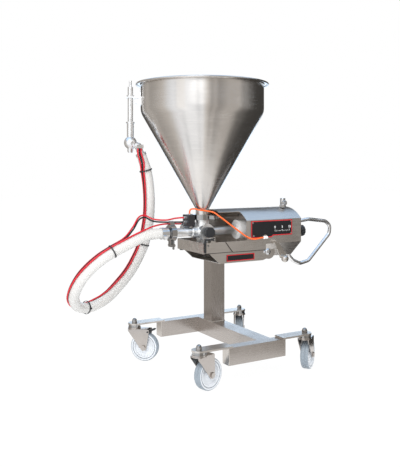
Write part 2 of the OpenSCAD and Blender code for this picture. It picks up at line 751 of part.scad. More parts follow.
module seal(x, bore_r, depth) tube_x(x - 1.8, x + 1.8, bore_r - depth, bore_r - fit);
module piston_seals() color(rubber_black) at_column() {
    seal(piston_start + piston_len / 2, product_bore_r, 3);
    seal(air_piston_x + air_piston_t / 2, air_bore_r, 4);
}
module product_cylinder() color(bright) at_column()
    tube_x(product_start, bulkhead_x, product_bore_r, product_out_r);
module cylinder_collar() color(white) at_column() {
    tube_x(collar_x, collar_x + collar_len, product_out_r + seat, collar_r);
    tube_x(collar_x + collar_len, bulkhead_x, product_out_r + seat, collar_r - 10);
}

// The adjuster: a knob on a screwed spindle that pushes a pad which doesn't turn
module stroke_knob() color(black) at_column() difference() {
    union() {
        rod_x(knob_x, knob_x + knob_len - 3, knob_r, spindle_y, spindle_z);
        rod_x(knob_x - 3, knob_x + knob_len, knob_r - 5, spindle_y, spindle_z);
    }
    rod_x(knob_x - 4, knob_x + knob_len - 4, spindle_r, spindle_y, spindle_z);
    for (a = [0:30:359]) translate([knob_x - 1, spindle_y, spindle_z]) rotate([a, 0, 0])
        translate([0, 0, knob_r + 1.5]) rotate([0, 90, 0]) cylinder(h = knob_len, r = 3.2, $fn = 24);
}
module stroke_spindle() color(bright) at_column()
    rod_x(pad_x + pad_t, knob_x + knob_len - 4, spindle_r, spindle_y, spindle_z);
module thrust_pad() color(white) at_column() rod_x(pad_x, pad_x + pad_t, pad_r, spindle_y, spindle_z);

// The valve: a cross body bored front to back for the plug, with three ports
module valve_body() color(bright) at_column() difference() {
    union() {
        rod_y(valve_front_y, valve_front_y + valve_len, valve_r, valve_x, axis_z);
        rod_y(valve_front_y, valve_front_y + 8, valve_r + 3, valve_x, axis_z);
        rod_x(outlet_x, valve_x, port_boss_r);
        rod_x(valve_x, product_start, port_boss_r);
        translate([valve_x, my, axis_z]) cylinder(h = valve_ferrule_z - axis_z, r = neck_r);
        translate([valve_x, my, valve_ferrule_z]) cylinder(h = ferrule_t, r = hopper_ferrule_r);
        bar([valve_x - 18, valve_x + 18], [my - 14, my + 14], [pan_z + sheet_t, axis_z - valve_r + 4]);
    }
    rod_y(valve_front_y + cap_wall, valve_front_y + valve_len + 1, plug_r, valve_x, axis_z);
    rod_y(valve_front_y - 1, valve_front_y + valve_len, stem_r + fit, valve_x, axis_z);
    rod_x(outlet_x - 1, product_start + 1, port_r);
    translate([valve_x, my, axis_z]) cylinder(h = valve_r + 1, r = port_r);
    translate([valve_x, my, axis_z + valve_r])
        cylinder(h = hopper_gasket_z - axis_z - valve_r + eps, r1 = port_r, r2 = neck_in_r);
}
// The plug's middle is cut away, so that what is left closes one port at a time
module valve_plug() color(white) at_column() {
    difference() {
        rod_y(plug_front_y, valve_back_y - gap, plug_r - fit, valve_x, axis_z);
        bar([valve_x - 5, valve_x + 30], [my - 20, my + 20], [axis_z - 30, axis_z + 30]);
    }
    rod_y(valve_front_y - 8, plug_front_y, stem_r, valve_x, axis_z);
    rod_y(valve_back_y - gap, valve_back_y + 14, stem_r, valve_x, axis_z);
}
module valve_knob() color(black) at_column() difference() {
    union() {
        translate([valve_x, valve_front_y - 6, axis_z]) rotate([90, 0, 0]) rotate([0, 0, 22.5])
            cylinder(h = valve_front_y - 6 - knob_front_y, r = valve_knob_r, $fn = 8);
        rod_y(valve_front_y - 6, valve_front_y - 2, 13, valve_x, axis_z);
    }
    rod_y(valve_front_y - 8, valve_front_y, stem_r, valve_x, axis_z);
}
module valve_actuator() color(bright) at_column() difference() {
    union() {
        rod_y(valve_back_y, valve_back_y + 8, valve_r + 3, valve_x, axis_z);
        bar([valve_x - 24, valve_x + 24], [valve_back_y + 8, valve_back_y + 50], [axis_z - 24, axis_z + 24]);
        rod_x(valve_x - 52, valve_x + 36, 15, valve_back_y + 29, axis_z + 6);
    }
    rod_y(valve_back_y - 1, valve_back_y + 16, stem_r + fit, valve_x, axis_z);
}

// The hopper: one wall line turned round the valve's axis. The line's rounded corner lies
// between the cone and the straight wall, and is listed from the cone upwards
function shoulder(t) = [for (k = [0:8]) let (a = -cone_angle * (8 - k) / 8)
    [hopper_r - shoulder_r + (shoulder_r - t) * cos(a),
        wall_z + shoulder_r * tan(cone_angle / 2) + (shoulder_r - t) * sin(a)]];
function backwards(p) = [for (i = [len(p) - 1:-1:0]) p[i]];
module hopper() color(steel) at_valve() rotate_extrude($fn = 180) {
    polygon(concat(
        [[neck_in_r, hopper_z], [hopper_ferrule_r, hopper_z], [hopper_ferrule_r, hopper_z + ferrule_t],
            [neck_r, hopper_z + ferrule_t], [neck_r, cone_z]],
        shoulder(0),
        [[hopper_r, rim_top - hopper_t - 4], [hopper_r + 4, rim_top - hopper_t],
            [hopper_r + rim_w, rim_top - hopper_t], [hopper_r + rim_w, rim_top],
            [hopper_r + 3, rim_top], [hopper_r - hopper_t, rim_top - 5]],
        backwards(shoulder(hopper_t)),
        [[neck_in_r, cone_z]]));
    translate([hopper_r + rim_w, rim_top - bead_r]) circle(r = bead_r, $fn = 32);
}
module clamp_gaskets() color(white) {
    at_valve() translate([0, 0, hopper_gasket_z]) ring(neck_in_r, hopper_ferrule_r, gasket_t);
    at_column() tube_x(outlet_gasket_x, outlet_end, port_r, outlet_ferrule_r);
}

// A two-part clamp round a pair of ferrules: halves hinged on a pin, closed by a bolt.
// Drawn with the ring's axis on Z, the bolt out at +X and the hinge at -X
module clamp_half(r, s) {
    ferrules = 2 * ferrule_t + gasket_t;
    difference() {
        union() {
            difference() {
                intersection() {
                    translate([0, 0, -clamp_h / 2]) cylinder(h = clamp_h, r = r);
                    translate([-2 * r, s > 0 ? 1 : -2 * r - 1, -clamp_h]) cube([4 * r, 2 * r, 2 * clamp_h]);
                }
                translate([0, 0, -clamp_h]) cylinder(h = 2 * clamp_h, r = r - 11);
                translate([0, 0, -ferrules / 2 - seat]) cylinder(h = ferrules + 2 * seat, r = r - 6 + seat);
            }
            bar([r - 4, r + lug_out], s > 0 ? [1, lug_w] : [-lug_w, -1], [-7, 7]);
            difference() {
                bar([-r - 8, -r + 5], s > 0 ? [1, 9] : [-9, -1], [-9, 9]);
                cylinder(h = 3 * clamp_h, r = r - 4, center = true);
                if (s > 0) for (z = [-16, 4]) translate([-r - 8, 0, z]) cylinder(h = 12, r = 6);
                if (s < 0) translate([-r - 8, 0, -4 - gap]) cylinder(h = 8 + 2 * gap, r = 6);
            }
            if (s > 0) translate([-r - 8, 0, -4]) cylinder(h = 8, r = 5.5);
            if (s < 0) for (z = [-9, 4 + gap]) translate([-r - 8, 0, z]) cylinder(h = 5 - gap, r = 5.5);
        }
        translate([r + bolt_off, 0, 0]) rotate([90, 0, 0]) cylinder(h = 60, r = bolt_r + seat, center = true);
        translate([-r - 8, 0, -20]) cylinder(h = 40, r = hinge_pin_r + fit);
    }
}
module clamp(r, bolt_side) {
    clamp_half(r, 1);
    clamp_half(r, -1);
    translate([-r - 8, 0, -10]) cylinder(h = 20, r = hinge_pin_r);
    translate([r + bolt_off, 0, 0]) rotate([bolt_side * 90, 0, 0]) {
        translate([0, 0, -lug_w]) cylinder(h = 2 * lug_w + wing_gap + wing_t + 5, r = bolt_r);
        translate([0, 0, -lug_w - 4]) cylinder(h = 4, r = bolt_r + 3);
    }
}
// The nut's two wings are rings on its boss
module wing_nut(r, bolt_side) translate([r + bolt_off, 0, 0]) rotate([bolt_side * 90, 0, 0])
    translate([0, 0, lug_w + wing_gap]) difference() {
        union() {
            cylinder(h = wing_t, r = wing_r);
            for (s = [-1, 1])
                translate([s * (wing_r + 3.5), 2, wing_t / 2 + 1]) rotate([90, 0, 0]) ring(2.5, 5, 4);
        }
        translate([0, 0, -1]) cylinder(h = wing_t + 2, r = bolt_r + fit);
    }
module at_hopper_clamp()
    at_valve() translate([0, 0, hopper_clamp_z]) rotate([0, 0, hopper_clamp_turn]) children();
module at_outlet_clamp()
    at_column() translate([outlet_clamp_x, my, axis_z]) rotate([0, 90, 0]) children();
module hopper_clamp() color(bright) at_hopper_clamp() clamp(hopper_clamp_r, -1);
module hopper_wing_nut() color(bright) at_hopper_clamp() wing_nut(hopper_clamp_r, -1);
module outlet_clamp() color(bright) at_outlet_clamp() clamp(outlet_clamp_r, 1);
module outlet_wing_nut() color(bright) at_outlet_clamp() wing_nut(outlet_clamp_r, 1);

// Outlet tube, hose fitting and the band on the hose
module outlet_tube() color(bright) at_column() {
    tube_x(outlet_end + ferrule_t, outlet_x, port_r, outlet_r);
    tube_x(outlet_end, outlet_end + ferrule_t, port_r, outlet_ferrule_r);
    tube_x(outlet_x - 8, outlet_x, outlet_r, port_boss_r);
}
module hose_fitting() color(bright) at_column() {
    tube_x(fitting_x, outlet_gasket_x, port_r, outlet_ferrule_r);
    tube_x(hose_x, fitting_x, port_r, outlet_r);
    tube_x(hose_x, hose_x + 7, outlet_r, hose_r + 2);
    tube_x(hose_x - 22, hose_x - 10, hose_r + seat, hose_r + 2.5);
    tube_x(hose_x - 10, hose_x, hose_r + seat, hose_r + 2);
    difference() {
        translate([hose_x - 16, my - hose_r - 8, axis_z - 12]) rotate([20, 0, 0])
            translate([-6, -7, -7]) cube([12, 14, 14]);
        rod_x(hose_x - 30, hose_x, hose_r + 1);
    }
}

// The nozzle hangs from its long tube on a fork at the hopper's wall
module at_port() translate(port_corner) rotate([0, port_tilt, port_turn]) children();
module port_run(r, from = 0) {
    long = norm(port_corner);
    rotate([0, acos(port_corner[2] / long), atan2(port_corner[1], port_corner[0])]) translate([0, 0, from])
        cylinder(h = long - from, r = r);
    translate(port_corner) sphere(r = r + elbow_bulge);
    at_port() cylinder(h = port_drop, r = r);
}
module nozzle_body() color(bright) at_nozzle() translate([0, 0, nozzle_z]) {
    difference() {
        union() {
            rotate_extrude() intersection() {
                circle(r = nozzle_body_r, $fn = 96);
                translate([0, -21]) square([nozzle_body_r, 42]);
            }
            port_run(port_out_r);
            at_port() translate([0, 0, port_drop - 10]) cylinder(h = 10, r = hose_r + 1);
            bar([7, 35], [-44, -18], [nozzle_block_z - nozzle_z, nozzle_block_z - nozzle_z + 14]);
        }
        port_run(port_in_r, 8);
        at_port() cylinder(h = port_drop + 1, r = port_in_r);
        translate([0, 0, -10]) cylinder(h = 40, r = 7);
        translate([0, 0, -30]) cylinder(h = 21, r = 11 + fit);
    }
}
module nozzle_spout() color(bright) at_nozzle() difference() {
    union() {
        translate([0, 0, nozzle_z + 21]) cylinder(h = 52, r = spout_r + 3);
        translate([0, 0, nozzle_z + 73]) cylinder(h = 6, r = spout_r + 6);
        translate([0, 0, nozzle_z + 79]) cylinder(h = spout_top - nozzle_z - 79, r = spout_r);
        translate([0, 0, hook_z + hook_t]) cylinder(h = 6, r = spout_r + 4);
        translate([0, 0, spout_top]) cylinder(h = tip_top - spout_top, r = tip_r);
    }
    translate([0, 0, nozzle_z]) cylinder(h = spout_top - nozzle_z - 4, r = spout_r - 3);
    translate([0, 0, nozzle_z]) cylinder(h = tip_top - nozzle_z + 1, r = tip_r - 1.5);
}
module nozzle_button() color(bright) at_nozzle() {
    translate([0, 0, nozzle_z - button_drop]) cylinder(h = 26 - button_travel - gap, r = 11);
    translate([0, 0, nozzle_z - button_drop - button_cap_h]) cylinder(h = button_cap_h, r = 9);
}
// A strip on the hopper's wall with a forked shelf that the tube's collar rests on
module nozzle_hook() color(bright) at_valve() rotate([0, 0, nozzle_bearing]) {
    difference() {
        union() {
            bar([hopper_r - 1.5, hopper_r + 3], [-16, 16], [hook_z - 30, hook_z + 34]);
            bar([hopper_r, nozzle_dist + 18], [-17, 17], [hook_z, hook_z + hook_t]);
            bar([hopper_r, nozzle_dist - 16], [-2, 2], [hook_z - 26, hook_z + 1]);
        }
        translate([0, 0, hook_z - 31]) cylinder(h = 66, r = hopper_r + seat, $fn = 180);
        translate([nozzle_dist, 0, hook_z - 1]) cylinder(h = hook_t + 2, r = spout_r + gap);
        bar([nozzle_dist, nozzle_dist + 30], [-spout_r - gap, spout_r + gap],
            [hook_z - 1, hook_z + hook_t + 1]);
    }
}

// The handle: a round bar bent in one plane, with an arc at each corner of its path
function run_dir(p, i) = unit(p[i + 1] - p[i]);
function turn(p, i) = let (a = run_dir(p, i - 1), b = run_dir(p, i)) atan2(a[0] * b[1] - a[1] * b[0], a * b);
function turned(v, a) = [v[0] * cos(a) - v[1] * sin(a), v[0] * sin(a) + v[1] * cos(a)];
function corner_arc(p, i, r) = let (
    d = run_dir(p, i - 1),
    a = turn(p, i),
    start = p[i] - d * r * tan(abs(a) / 2),
    c = start + sign(a) * r * turned(d, 90),
    steps = ceil(abs(a) / 12))
    [for (k = [0:steps]) c + turned(start - c, a * k / steps)];
function bent_line(p) = let (n = len(p)) concat([p[0]],
    [for (i = [1:n - 2]) each corner_arc(p, i, i == n - 2 ? last_bend : handle_bend)], [p[n - 1]]);
module handle() color(bright) at_column() {
    sweep([for (q = bent_line(handle_path)) [q[0], my, q[1]]], handle_r, 16);
    for (p = [handle_path[0], handle_path[len(handle_path) - 1]])
        tube_x(back_x + bulkhead_t, back_x + bulkhead_t + 4, handle_r + gap, handle_r + 6, my, p[1]);
}

// Fittings for air: the inlet on the roof, an elbow on the front and a block by the valve
module air_fittings() color(bright) at_column() {
    difference() {
        union() {
            translate([inlet_x, inlet_y, inlet_z]) cylinder(h = 9, r = 13, $fn = 6);
            translate([inlet_x, inlet_y, inlet_z + 9]) cylinder(h = 28, r = 11);
            rod_y(inlet_y - 17, inlet_y, 10, inlet_x, inlet_port_z);
            translate([inlet_x, inlet_y, inlet_z - 16]) cylinder(h = 17, r = 6 - seat);
        }
        rod_y(inlet_y - 18, inlet_y - 3, inlet_bore_r, inlet_x, inlet_port_z);
        translate([inlet_x, inlet_y - 6, inlet_z - 17]) cylinder(h = inlet_port_z - inlet_z + 17, r = 2.5);
    }
    difference() {
        union() {
            rod_y(front_y - 16, front_y, 6.5, elbow_x, elbow_z);
            rod_y(front_y, front_y + sheet_t, 4 - seat, elbow_x, elbow_z);
            rod_x(elbow_x - 17, elbow_x, 5.5, front_y - 10, elbow_z);
        }
        rod_y(front_y - 12, front_y + 3, 2, elbow_x, elbow_z);
    }
    bar([block_x, outlet_x], [my - 15, my + 27], [block_z, block_top]);
    for (p = block_ports) rod_x(block_x - 12, block_x, 5, my + p[0], p[1]);
    translate([-157, my, block_top]) cylinder(h = 4, r = 6);
}

// The release lever hangs on the shroud's pin and ends in a ball
module release_lever() color(bright) at_column() translate([lever_x, 0, lever_z]) difference() {
    union() {
        across_y(front_y - 10, front_y - 5 - gap) {
            circle(r = 9);
            polygon([[-8, 3], [8, 3], [47, -50], [42, -64], [22, -66]]);
            translate([34, -54]) circle(r = 14);
        }
        translate([36, front_y - 19, -68]) sphere(r = 14);
    }
    rod_y(front_y - 20, front_y + 20, lever_pin_r + fit, 0, 0);
}
// The latch hangs over the pan's corner and swings up on the bracket's pin
module pan_latch() color(black) at_column() difference() {
    across_y(front_y - 9, front_y - 4) {
        translate([latch_x, latch_z]) circle(r = 6, $fn = 32);
        translate([-pan_left + 1, latch_z - 3]) square([latch_x + pan_left - 1, 6]);
        translate([-pan_left + 1, pan_z + 4]) square([6, latch_z - pan_z - 1]);
    }
    rod_y(front_y - 20, front_y, latch_pin_r + fit, latch_x, latch_z);
}

// A round bar or cord: one ring of corners at each route point, set square to the route
function tangent(p, i) = i == 0 ? unit(p[1] - p[0]) : i == len(p) - 1 ? unit(p[i] - p[i - 1])
    : unit(unit(p[i + 1] - p[i]) + unit(p[i] - p[i - 1]));
function square_to(v, t) = unit(v - (v * t) * t);
// The rings' first corners, carried along the route without twist
function first_corners(p, v) = [for (i = 0, u = square_to(v, tangent(p, 0)); i < len(p);
    i = i + 1, u = i < len(p) ? square_to(u, tangent(p, i)) : u) u];
module sweep(p, r, sides) {
    n = len(p);
    first = first_corners(p, [0.1, 1, 0.05]);
    corners = [for (i = [0:n - 1]) let (t = tangent(p, i), u = first[i], w = cross(t, u))
        for (k = [0:sides - 1]) let (a = 360 * k / sides) p[i] + r * (cos(a) * u + sin(a) * w)];
    sheets = [for (i = [0:n - 2], k = [0:sides - 1]) let (m = (k + 1) % sides)
        [i * sides + k, (i + 1) * sides + k, (i + 1) * sides + m, i * sides + m]];
    polyhedron(corners, concat([[for (k = [0:sides - 1]) k]], sheets,
        [[for (k = [sides - 1:-1:0]) (n - 1) * sides + k]]));
}
// A place on the hose's outside: bearing a around hose point i, at distance d
function beside(i, a, d = lay_r) = let (t = tangent(hose_route, i), e = square_to([0, 1, 0], t))
    hose_route[i] + d * (cos(a) * e + sin(a) * cross(e, t));
function laid(k) = [for (q = lay) beside(q[0], q[1] + k * lay_step)];
function tail(k) = [beside(24, -140 + k * lay_step, lay_r + 2.6),
    [tube_ends[k + 1][0], tube_ends[k + 1][1], nozzle_block_z - 18],
    [tube_ends[k + 1][0], tube_ends[k + 1][1], nozzle_block_z]];
module hose() color(white) at_column() sweep(hose_route, hose_r, 12);
module red_air_tubes() color(red) at_column() {
    sweep(concat(upper_lead, laid(-1), tail(-1)), air_tube_r, 8);
    sweep(concat(lower_lead, [for (q = lower_lay) beside(q[0], q[1])], laid(1), tail(1)), air_tube_r, 8);
}
module black_air_tube() color(black) at_column() sweep(concat(middle_lead, laid(0), tail(0)), air_tube_r, 8);
module orange_air_tube() color(orange) at_column() sweep(orange_route, air_tube_r, 8);
// Cable ties: a band round the hose and the tubes, with its square head
module cable_ties() color(black) at_column() for (q = ties) {
    t = tangent(hose_route, q[0]);
    translate(beside(q[0], q[1], tie_shift)) rotate([0, acos(t[2]), atan2(t[1], t[0])]) {
        translate([0, 0, -2.5]) ring(hose_r + 4, hose_r + 5.6, 5);
        translate([-3, -hose_r - 11, -3]) cube([6, 6, 6]);
    }
}

front_leg();
rear_leg();
cross_beam();
column();
castor_plates();
castor_stems();
castor_nuts();
fork_front_left();
fork_front_right();
fork_rear_left();
fork_rear_right();
wheel_front_left();
wheel_front_right();
wheel_rear_left();
wheel_rear_right();
brake_pedal();
cradle();
base_pan();
pan_feet();
rear_shroud();
housing_cover();
bulkheads();
label_plates();
cover_screws();
air_cylinder();
cylinder_caps();
air_piston();
piston_rod();
product_piston();
piston_seals();
product_cylinder();
cylinder_collar();
valve_body();
valve_plug();
valve_knob();
valve_actuator();
hopper();
clamp_gaskets();
hopper_clamp();
hopper_wing_nut();
outlet_tube();
outlet_clamp();
outlet_wing_nut();
hose_fitting();
hose();
cable_ties();
red_air_tubes();
black_air_tube();
orange_air_tube();
nozzle_body();
nozzle_spout();
nozzle_button();
nozzle_hook();
handle();
stroke_knob();
stroke_spindle();
thrust_pad();
air_fittings();
release_lever();
pan_latch();
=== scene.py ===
# Looks of the pneumatic filling machine: finishes, hose and air tubes, plates and fine parts.
# Metres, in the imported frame: +X to the handle, -Y to the front, +Z up, floor at Z = 0.
import math

import bmesh
import bpy
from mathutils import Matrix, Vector


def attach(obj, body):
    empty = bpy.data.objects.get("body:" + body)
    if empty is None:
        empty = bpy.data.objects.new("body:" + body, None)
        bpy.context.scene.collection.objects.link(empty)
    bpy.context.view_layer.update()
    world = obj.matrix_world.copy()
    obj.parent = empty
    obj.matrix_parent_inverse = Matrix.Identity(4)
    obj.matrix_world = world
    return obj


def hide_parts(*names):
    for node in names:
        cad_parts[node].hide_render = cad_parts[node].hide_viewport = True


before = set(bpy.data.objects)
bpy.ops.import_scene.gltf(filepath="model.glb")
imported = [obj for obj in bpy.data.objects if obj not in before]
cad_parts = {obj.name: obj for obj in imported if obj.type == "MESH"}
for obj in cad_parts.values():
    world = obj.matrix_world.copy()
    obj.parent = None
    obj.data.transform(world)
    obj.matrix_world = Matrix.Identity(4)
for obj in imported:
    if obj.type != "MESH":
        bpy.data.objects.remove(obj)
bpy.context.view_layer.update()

MM = 0.001
FOOT = Vector((-0.08884, 0.09912, 0))
PAN_Z = 429
BEAM_TOP = 137
CRADLE_Z = 389


def at(x, y, z):
    """A point given in millimetres from the column's foot, in the frame's metres."""
    return FOOT + Vector((x, y, z)) * MM


def over_pan(x, y, z):
    """The same, with the height measured from the pan's underside."""
    return at(x, y, PAN_Z + z)


# Camera: level, at the photograph's angle, with the picture's horizon above its middle
VIEW_BEARING = math.radians(30.2)
FOCAL_PX = 644.4
PICTURE_W = 400
PICTURE_H = 467
HORIZON_ROW = 168.3
CAMERA_PLACE = (-1343.8, -2197.0, 741.7)

camera_data = bpy.data.cameras.new("camera")
camera_data.sensor_fit = "HORIZONTAL"
camera_data.lens = camera_data.sensor_width * FOCAL_PX / PICTURE_W
camera_data.shift_y = (HORIZON_ROW - PICTURE_H / 2) / PICTURE_W
camera_data.clip_end = 50
camera = bpy.data.objects.new("camera", camera_data)
camera.location = at(*CAMERA_PLACE)
camera.rotation_euler = (math.radians(90), 0, -VIEW_BEARING)
bpy.context.scene.collection.objects.link(camera)
bpy.context.scene.camera = camera


# Node helpers
def new_material(name):
    material = bpy.data.materials.new(name)
    material.use_nodes = True
    tree = material.node_tree
    shader = tree.nodes["Principled BSDF"]
    return material, tree, shader


def add(tree, kind, **values):
    node = tree.nodes.new(kind)
    for key, value in values.items():
        if hasattr(node, key):
            setattr(node, key, value)
        else:
            node.inputs[key.replace("_", " ").title()].default_value = value
    return node


def object_noise(tree, stretch, detail):
    """Noise in the frame's own metres, drawn out along an axis by a small stretch value there."""
    place = add(tree, "ShaderNodeTexCoord")
    mapping = add(tree, "ShaderNodeMapping")
    mapping.inputs["Scale"].default_value = stretch
    noise = add(tree, "ShaderNodeTexNoise")
    noise.inputs["Scale"].default_value = 1.0
    noise.inputs["Detail"].default_value = detail
    tree.links.new(place.outputs["Object"], mapping.inputs["Vector"])
    tree.links.new(mapping.outputs["Vector"], noise.inputs["Vector"])
    return noise.outputs["Fac"]


def spread(tree, value, low, high, from_low=0.3, from_high=0.7):
    """Maps a value, by default a noise value, to a range."""
    node = add(tree, "ShaderNodeMapRange")
    node.inputs["From Min"].default_value = from_low
    node.inputs["From Max"].default_value = from_high
    node.inputs["To Min"].default_value = low
    node.inputs["To Max"].default_value = high
    tree.links.new(value, node.inputs["Value"])
    return node.outputs["Result"]


def multiply(tree, a, b):
    node = add(tree, "ShaderNodeMath", operation="MULTIPLY")
    tree.links.new(a, node.inputs[0])
    tree.links.new(b, node.inputs[1])
    return node.outputs["Value"]


def tinted(tree, colour, factor):
    """A colour made lighter and darker by a factor near 1."""
    node = add(tree, "ShaderNodeVectorMath", operation="SCALE")
    node.inputs[0].default_value = colour
    tree.links.new(factor, node.inputs["Scale"])
    return node.outputs["Vector"]


def bump(tree, shader, height, distance, strength):
    node = add(tree, "ShaderNodeBump")
    node.inputs["Distance"].default_value = distance
    node.inputs["Strength"].default_value = strength
    tree.links.new(height, node.inputs["Height"])
    tree.links.new(node.outputs["Normal"], shader.inputs["Normal"])


# The noise's scale across and along the grain of brushed metal
FINE = 900.0
SLOW = 14.0
GRAIN = {
    "x": (SLOW, FINE, FINE),
    "y": (FINE, SLOW, FINE),
    "z": (FINE, FINE, SLOW),
    "round": (SLOW, SLOW, FINE),
}


def brushed_metal(name, colour, grain, rough=0.3, wear=0.07):
    """Metal with fine lines along one axis, soft stains and a little uneven gloss."""
    material, tree, shader = new_material(name)
    lines = object_noise(tree, GRAIN[grain], detail=2.0)
    stains = object_noise(tree, (9, 9, 9), detail=4.0)
    shader.inputs["Metallic"].default_value = 1.0
    gloss = multiply(tree, spread(tree, lines, 0.86, 1.14), spread(tree, stains, rough * 0.8, rough * 1.2))
    tree.links.new(gloss, shader.inputs["Roughness"])
    shade = multiply(tree, spread(tree, lines, 1 - wear, 1 + wear), spread(tree, stains, 0.95, 1.04))
    tree.links.new(tinted(tree, colour, shade), shader.inputs["Base Color"])
    bump(tree, shader, lines, 0.00006, 0.35)
    return material


def spun_metal(name, colour, rough, wear):
    """Brushed metal turned about the upright axis, with the long highlights of spun sheet."""
    material = brushed_metal(name, colour, "round", rough, wear)
    tree = material.node_tree
    shader = tree.nodes["Principled BSDF"]
    around = add(tree, "ShaderNodeTangent", direction_type="RADIAL", axis="Z")
    shader.inputs["Anisotropic"].default_value = 0.8
    shader.inputs["Anisotropic Rotation"].default_value = 0.25
    tree.links.new(around.outputs["Tangent"], shader.inputs["Tangent"])
    return material


def polished_metal(name, colour, rough):
    """Metal turned or buffed bright, with faint marks from handling."""
    material, tree, shader = new_material(name)
    marks = object_noise(tree, (120, 120, 120), detail=6.0)
    stains = object_noise(tree, (22, 22, 22), detail=3.0)
    shader.inputs["Metallic"].default_value = 1.0
    gloss = multiply(tree, spread(tree, marks, 0.8, 1.3), spread(tree, stains, rough * 0.7, rough * 1.3))
    tree.links.new(gloss, shader.inputs["Roughness"])
    tree.links.new(tinted(tree, colour, spread(tree, stains, 0.93, 1.05)), shader.inputs["Base Color"])
    bump(tree, shader, marks, 0.00004, 0.25)
    return material


def moulded(name, colour, rough, grain=700.0):
    """Plastic or rubber with a fine moulded grain and uneven gloss."""
    material, tree, shader = new_material(name)
    fine = object_noise(tree, (grain, grain, grain), detail=2.0)
    stains = object_noise(tree, (30, 30, 30), detail=4.0)
    tree.links.new(spread(tree, stains, rough * 0.8, rough * 1.25), shader.inputs["Roughness"])
    tree.links.new(tinted(tree, colour, spread(tree, stains, 0.94, 1.04)), shader.inputs["Base Color"])
    bump(tree, shader, fine, 0.00005, 0.3)
    return material


# Finishes by name
STEEL = (0.68, 0.64, 0.60)
STAND_STEEL = (0.52, 0.48, 0.45)
STAND_ROUGH = 0.27
steel_x = brushed_metal("steel_brushed_x", STEEL, "x")
steel_z = brushed_metal("steel_brushed_z", STEEL, "z")
stand_x = brushed_metal("stand_brushed_x", STAND_STEEL, "x", rough=STAND_ROUGH)
stand_y = brushed_metal("stand_brushed_y", STAND_STEEL, "y", rough=STAND_ROUGH)
stand_z = brushed_metal("stand_brushed_z", STAND_STEEL, "z", rough=STAND_ROUGH)

steel_spun = spun_metal("steel_spun", (0.80, 0.765, 0.73), rough=0.22, wear=0.05)
bright_steel = polished_metal("steel_polished", (0.78, 0.78, 0.78), rough=0.16)
soft_steel = polished_metal("steel_satin", (0.66, 0.62, 0.57), rough=0.26)
mirror_steel = polished_metal("steel_mirror", (0.44, 0.43, 0.42), rough=0.07)
zinc = polished_metal("zinc_bright", (0.54, 0.50, 0.47), rough=0.17)
dark_block = polished_metal("block_dark", (0.10, 0.10, 0.11), rough=0.3)
chrome = polished_metal("steel_chrome", (0.96, 0.96, 0.96), rough=0.24)
pale_steel = polished_metal("steel_pale", (0.97, 0.97, 0.96), rough=0.42)
aluminium = brushed_metal("aluminium_satin", (0.72, 0.72, 0.73), "x", rough=0.34)
# Painted shade: a near-black finish for the thin lines drawn in the sheet seams
seam_painted_shade = polished_metal("seam_painted_shade", (0.06, 0.055, 0.05), rough=0.5)
nylon = moulded("nylon_white", (0.74, 0.77, 0.81), rough=0.32)
tread = moulded("tread_grey", (0.30, 0.35, 0.40), rough=0.45)
# Grey for the wheel's hub and bore; in the rim's recessed groove this grey is painted shade
hub_grey_and_groove_shade = moulded("nylon_grey_and_groove_shade", (0.30, 0.34, 0.38), rough=0.5)
white_plastic = moulded("plastic_white", (0.95, 0.95, 0.94), rough=0.34)
black_plastic = moulded("plastic_black", (0.022, 0.023, 0.026), rough=0.38)
black_rubber = moulded("rubber_black", (0.02, 0.02, 0.02), rough=0.7)
plate_black = moulded("plate_black", (0.008, 0.008, 0.010), rough=0.34, grain=300.0)
plate_red = moulded("plate_red", (0.66, 0.012, 0.02), rough=0.4)
plate_white = moulded("plate_white", (0.85, 0.85, 0.84), rough=0.35)
tube_red = moulded("tube_red", (0.66, 0.008, 0.025), rough=0.38)
tube_black = moulded("tube_black", (0.008, 0.010, 0.010), rough=0.36)
tube_orange = moulded("tube_orange", (0.92, 0.15, 0.02), rough=0.35)

HOSE_PLIES = 8
PLY_SHARPNESS = 6.0


def hose_material():
    """White hose wall with a faint shadow of its woven reinforcement, laid along the hose by its UV map."""
    material, tree, shader = new_material("hose_white")
    place = add(tree, "ShaderNodeTexCoord")
    split = add(tree, "ShaderNodeSeparateXYZ")
    tree.links.new(place.outputs["UV"], split.inputs["Vector"])
    total = None
    for lean in (1.0, -1.0):
        mix = add(tree, "ShaderNodeMath", operation="MULTIPLY_ADD")
        mix.inputs[1].default_value = lean
        tree.links.new(split.outputs["Y"], mix.inputs[0])
        tree.links.new(split.outputs["X"], mix.inputs[2])
        wave = add(tree, "ShaderNodeMath", operation="SINE")
        turns = add(tree, "ShaderNodeMath", operation="MULTIPLY")
        turns.inputs[1].default_value = 2 * math.pi * HOSE_PLIES
        tree.links.new(mix.outputs["Value"], turns.inputs[0])
        tree.links.new(turns.outputs["Value"], wave.inputs[0])
        power = add(tree, "ShaderNodeMath", operation="POWER")
        power.inputs[1].default_value = PLY_SHARPNESS
        size = add(tree, "ShaderNodeMath", operation="ABSOLUTE")
        tree.links.new(wave.outputs["Value"], size.inputs[0])
        tree.links.new(size.outputs["Value"], power.inputs[0])
        if total is None:
            total = power.outputs["Value"]
        else:
            join = add(tree, "ShaderNodeMath", operation="MAXIMUM")
            tree.links.new(total, join.inputs[0])
            tree.links.new(power.outputs["Value"], join.inputs[1])
            total = join.outputs["Value"]
    stains = object_noise(tree, (20, 20, 20), detail=4.0)
    shade = multiply(tree, spread(tree, total, 1.0, 0.992, 0.0, 1.0), spread(tree, stains, 0.98, 1.01))
    tree.links.new(tinted(tree, (0.70, 0.69, 0.67), shade), shader.inputs["Base Color"])
    tree.links.new(spread(tree, stains, 0.24, 0.38), shader.inputs["Roughness"])
    return material


hose_white = hose_material()


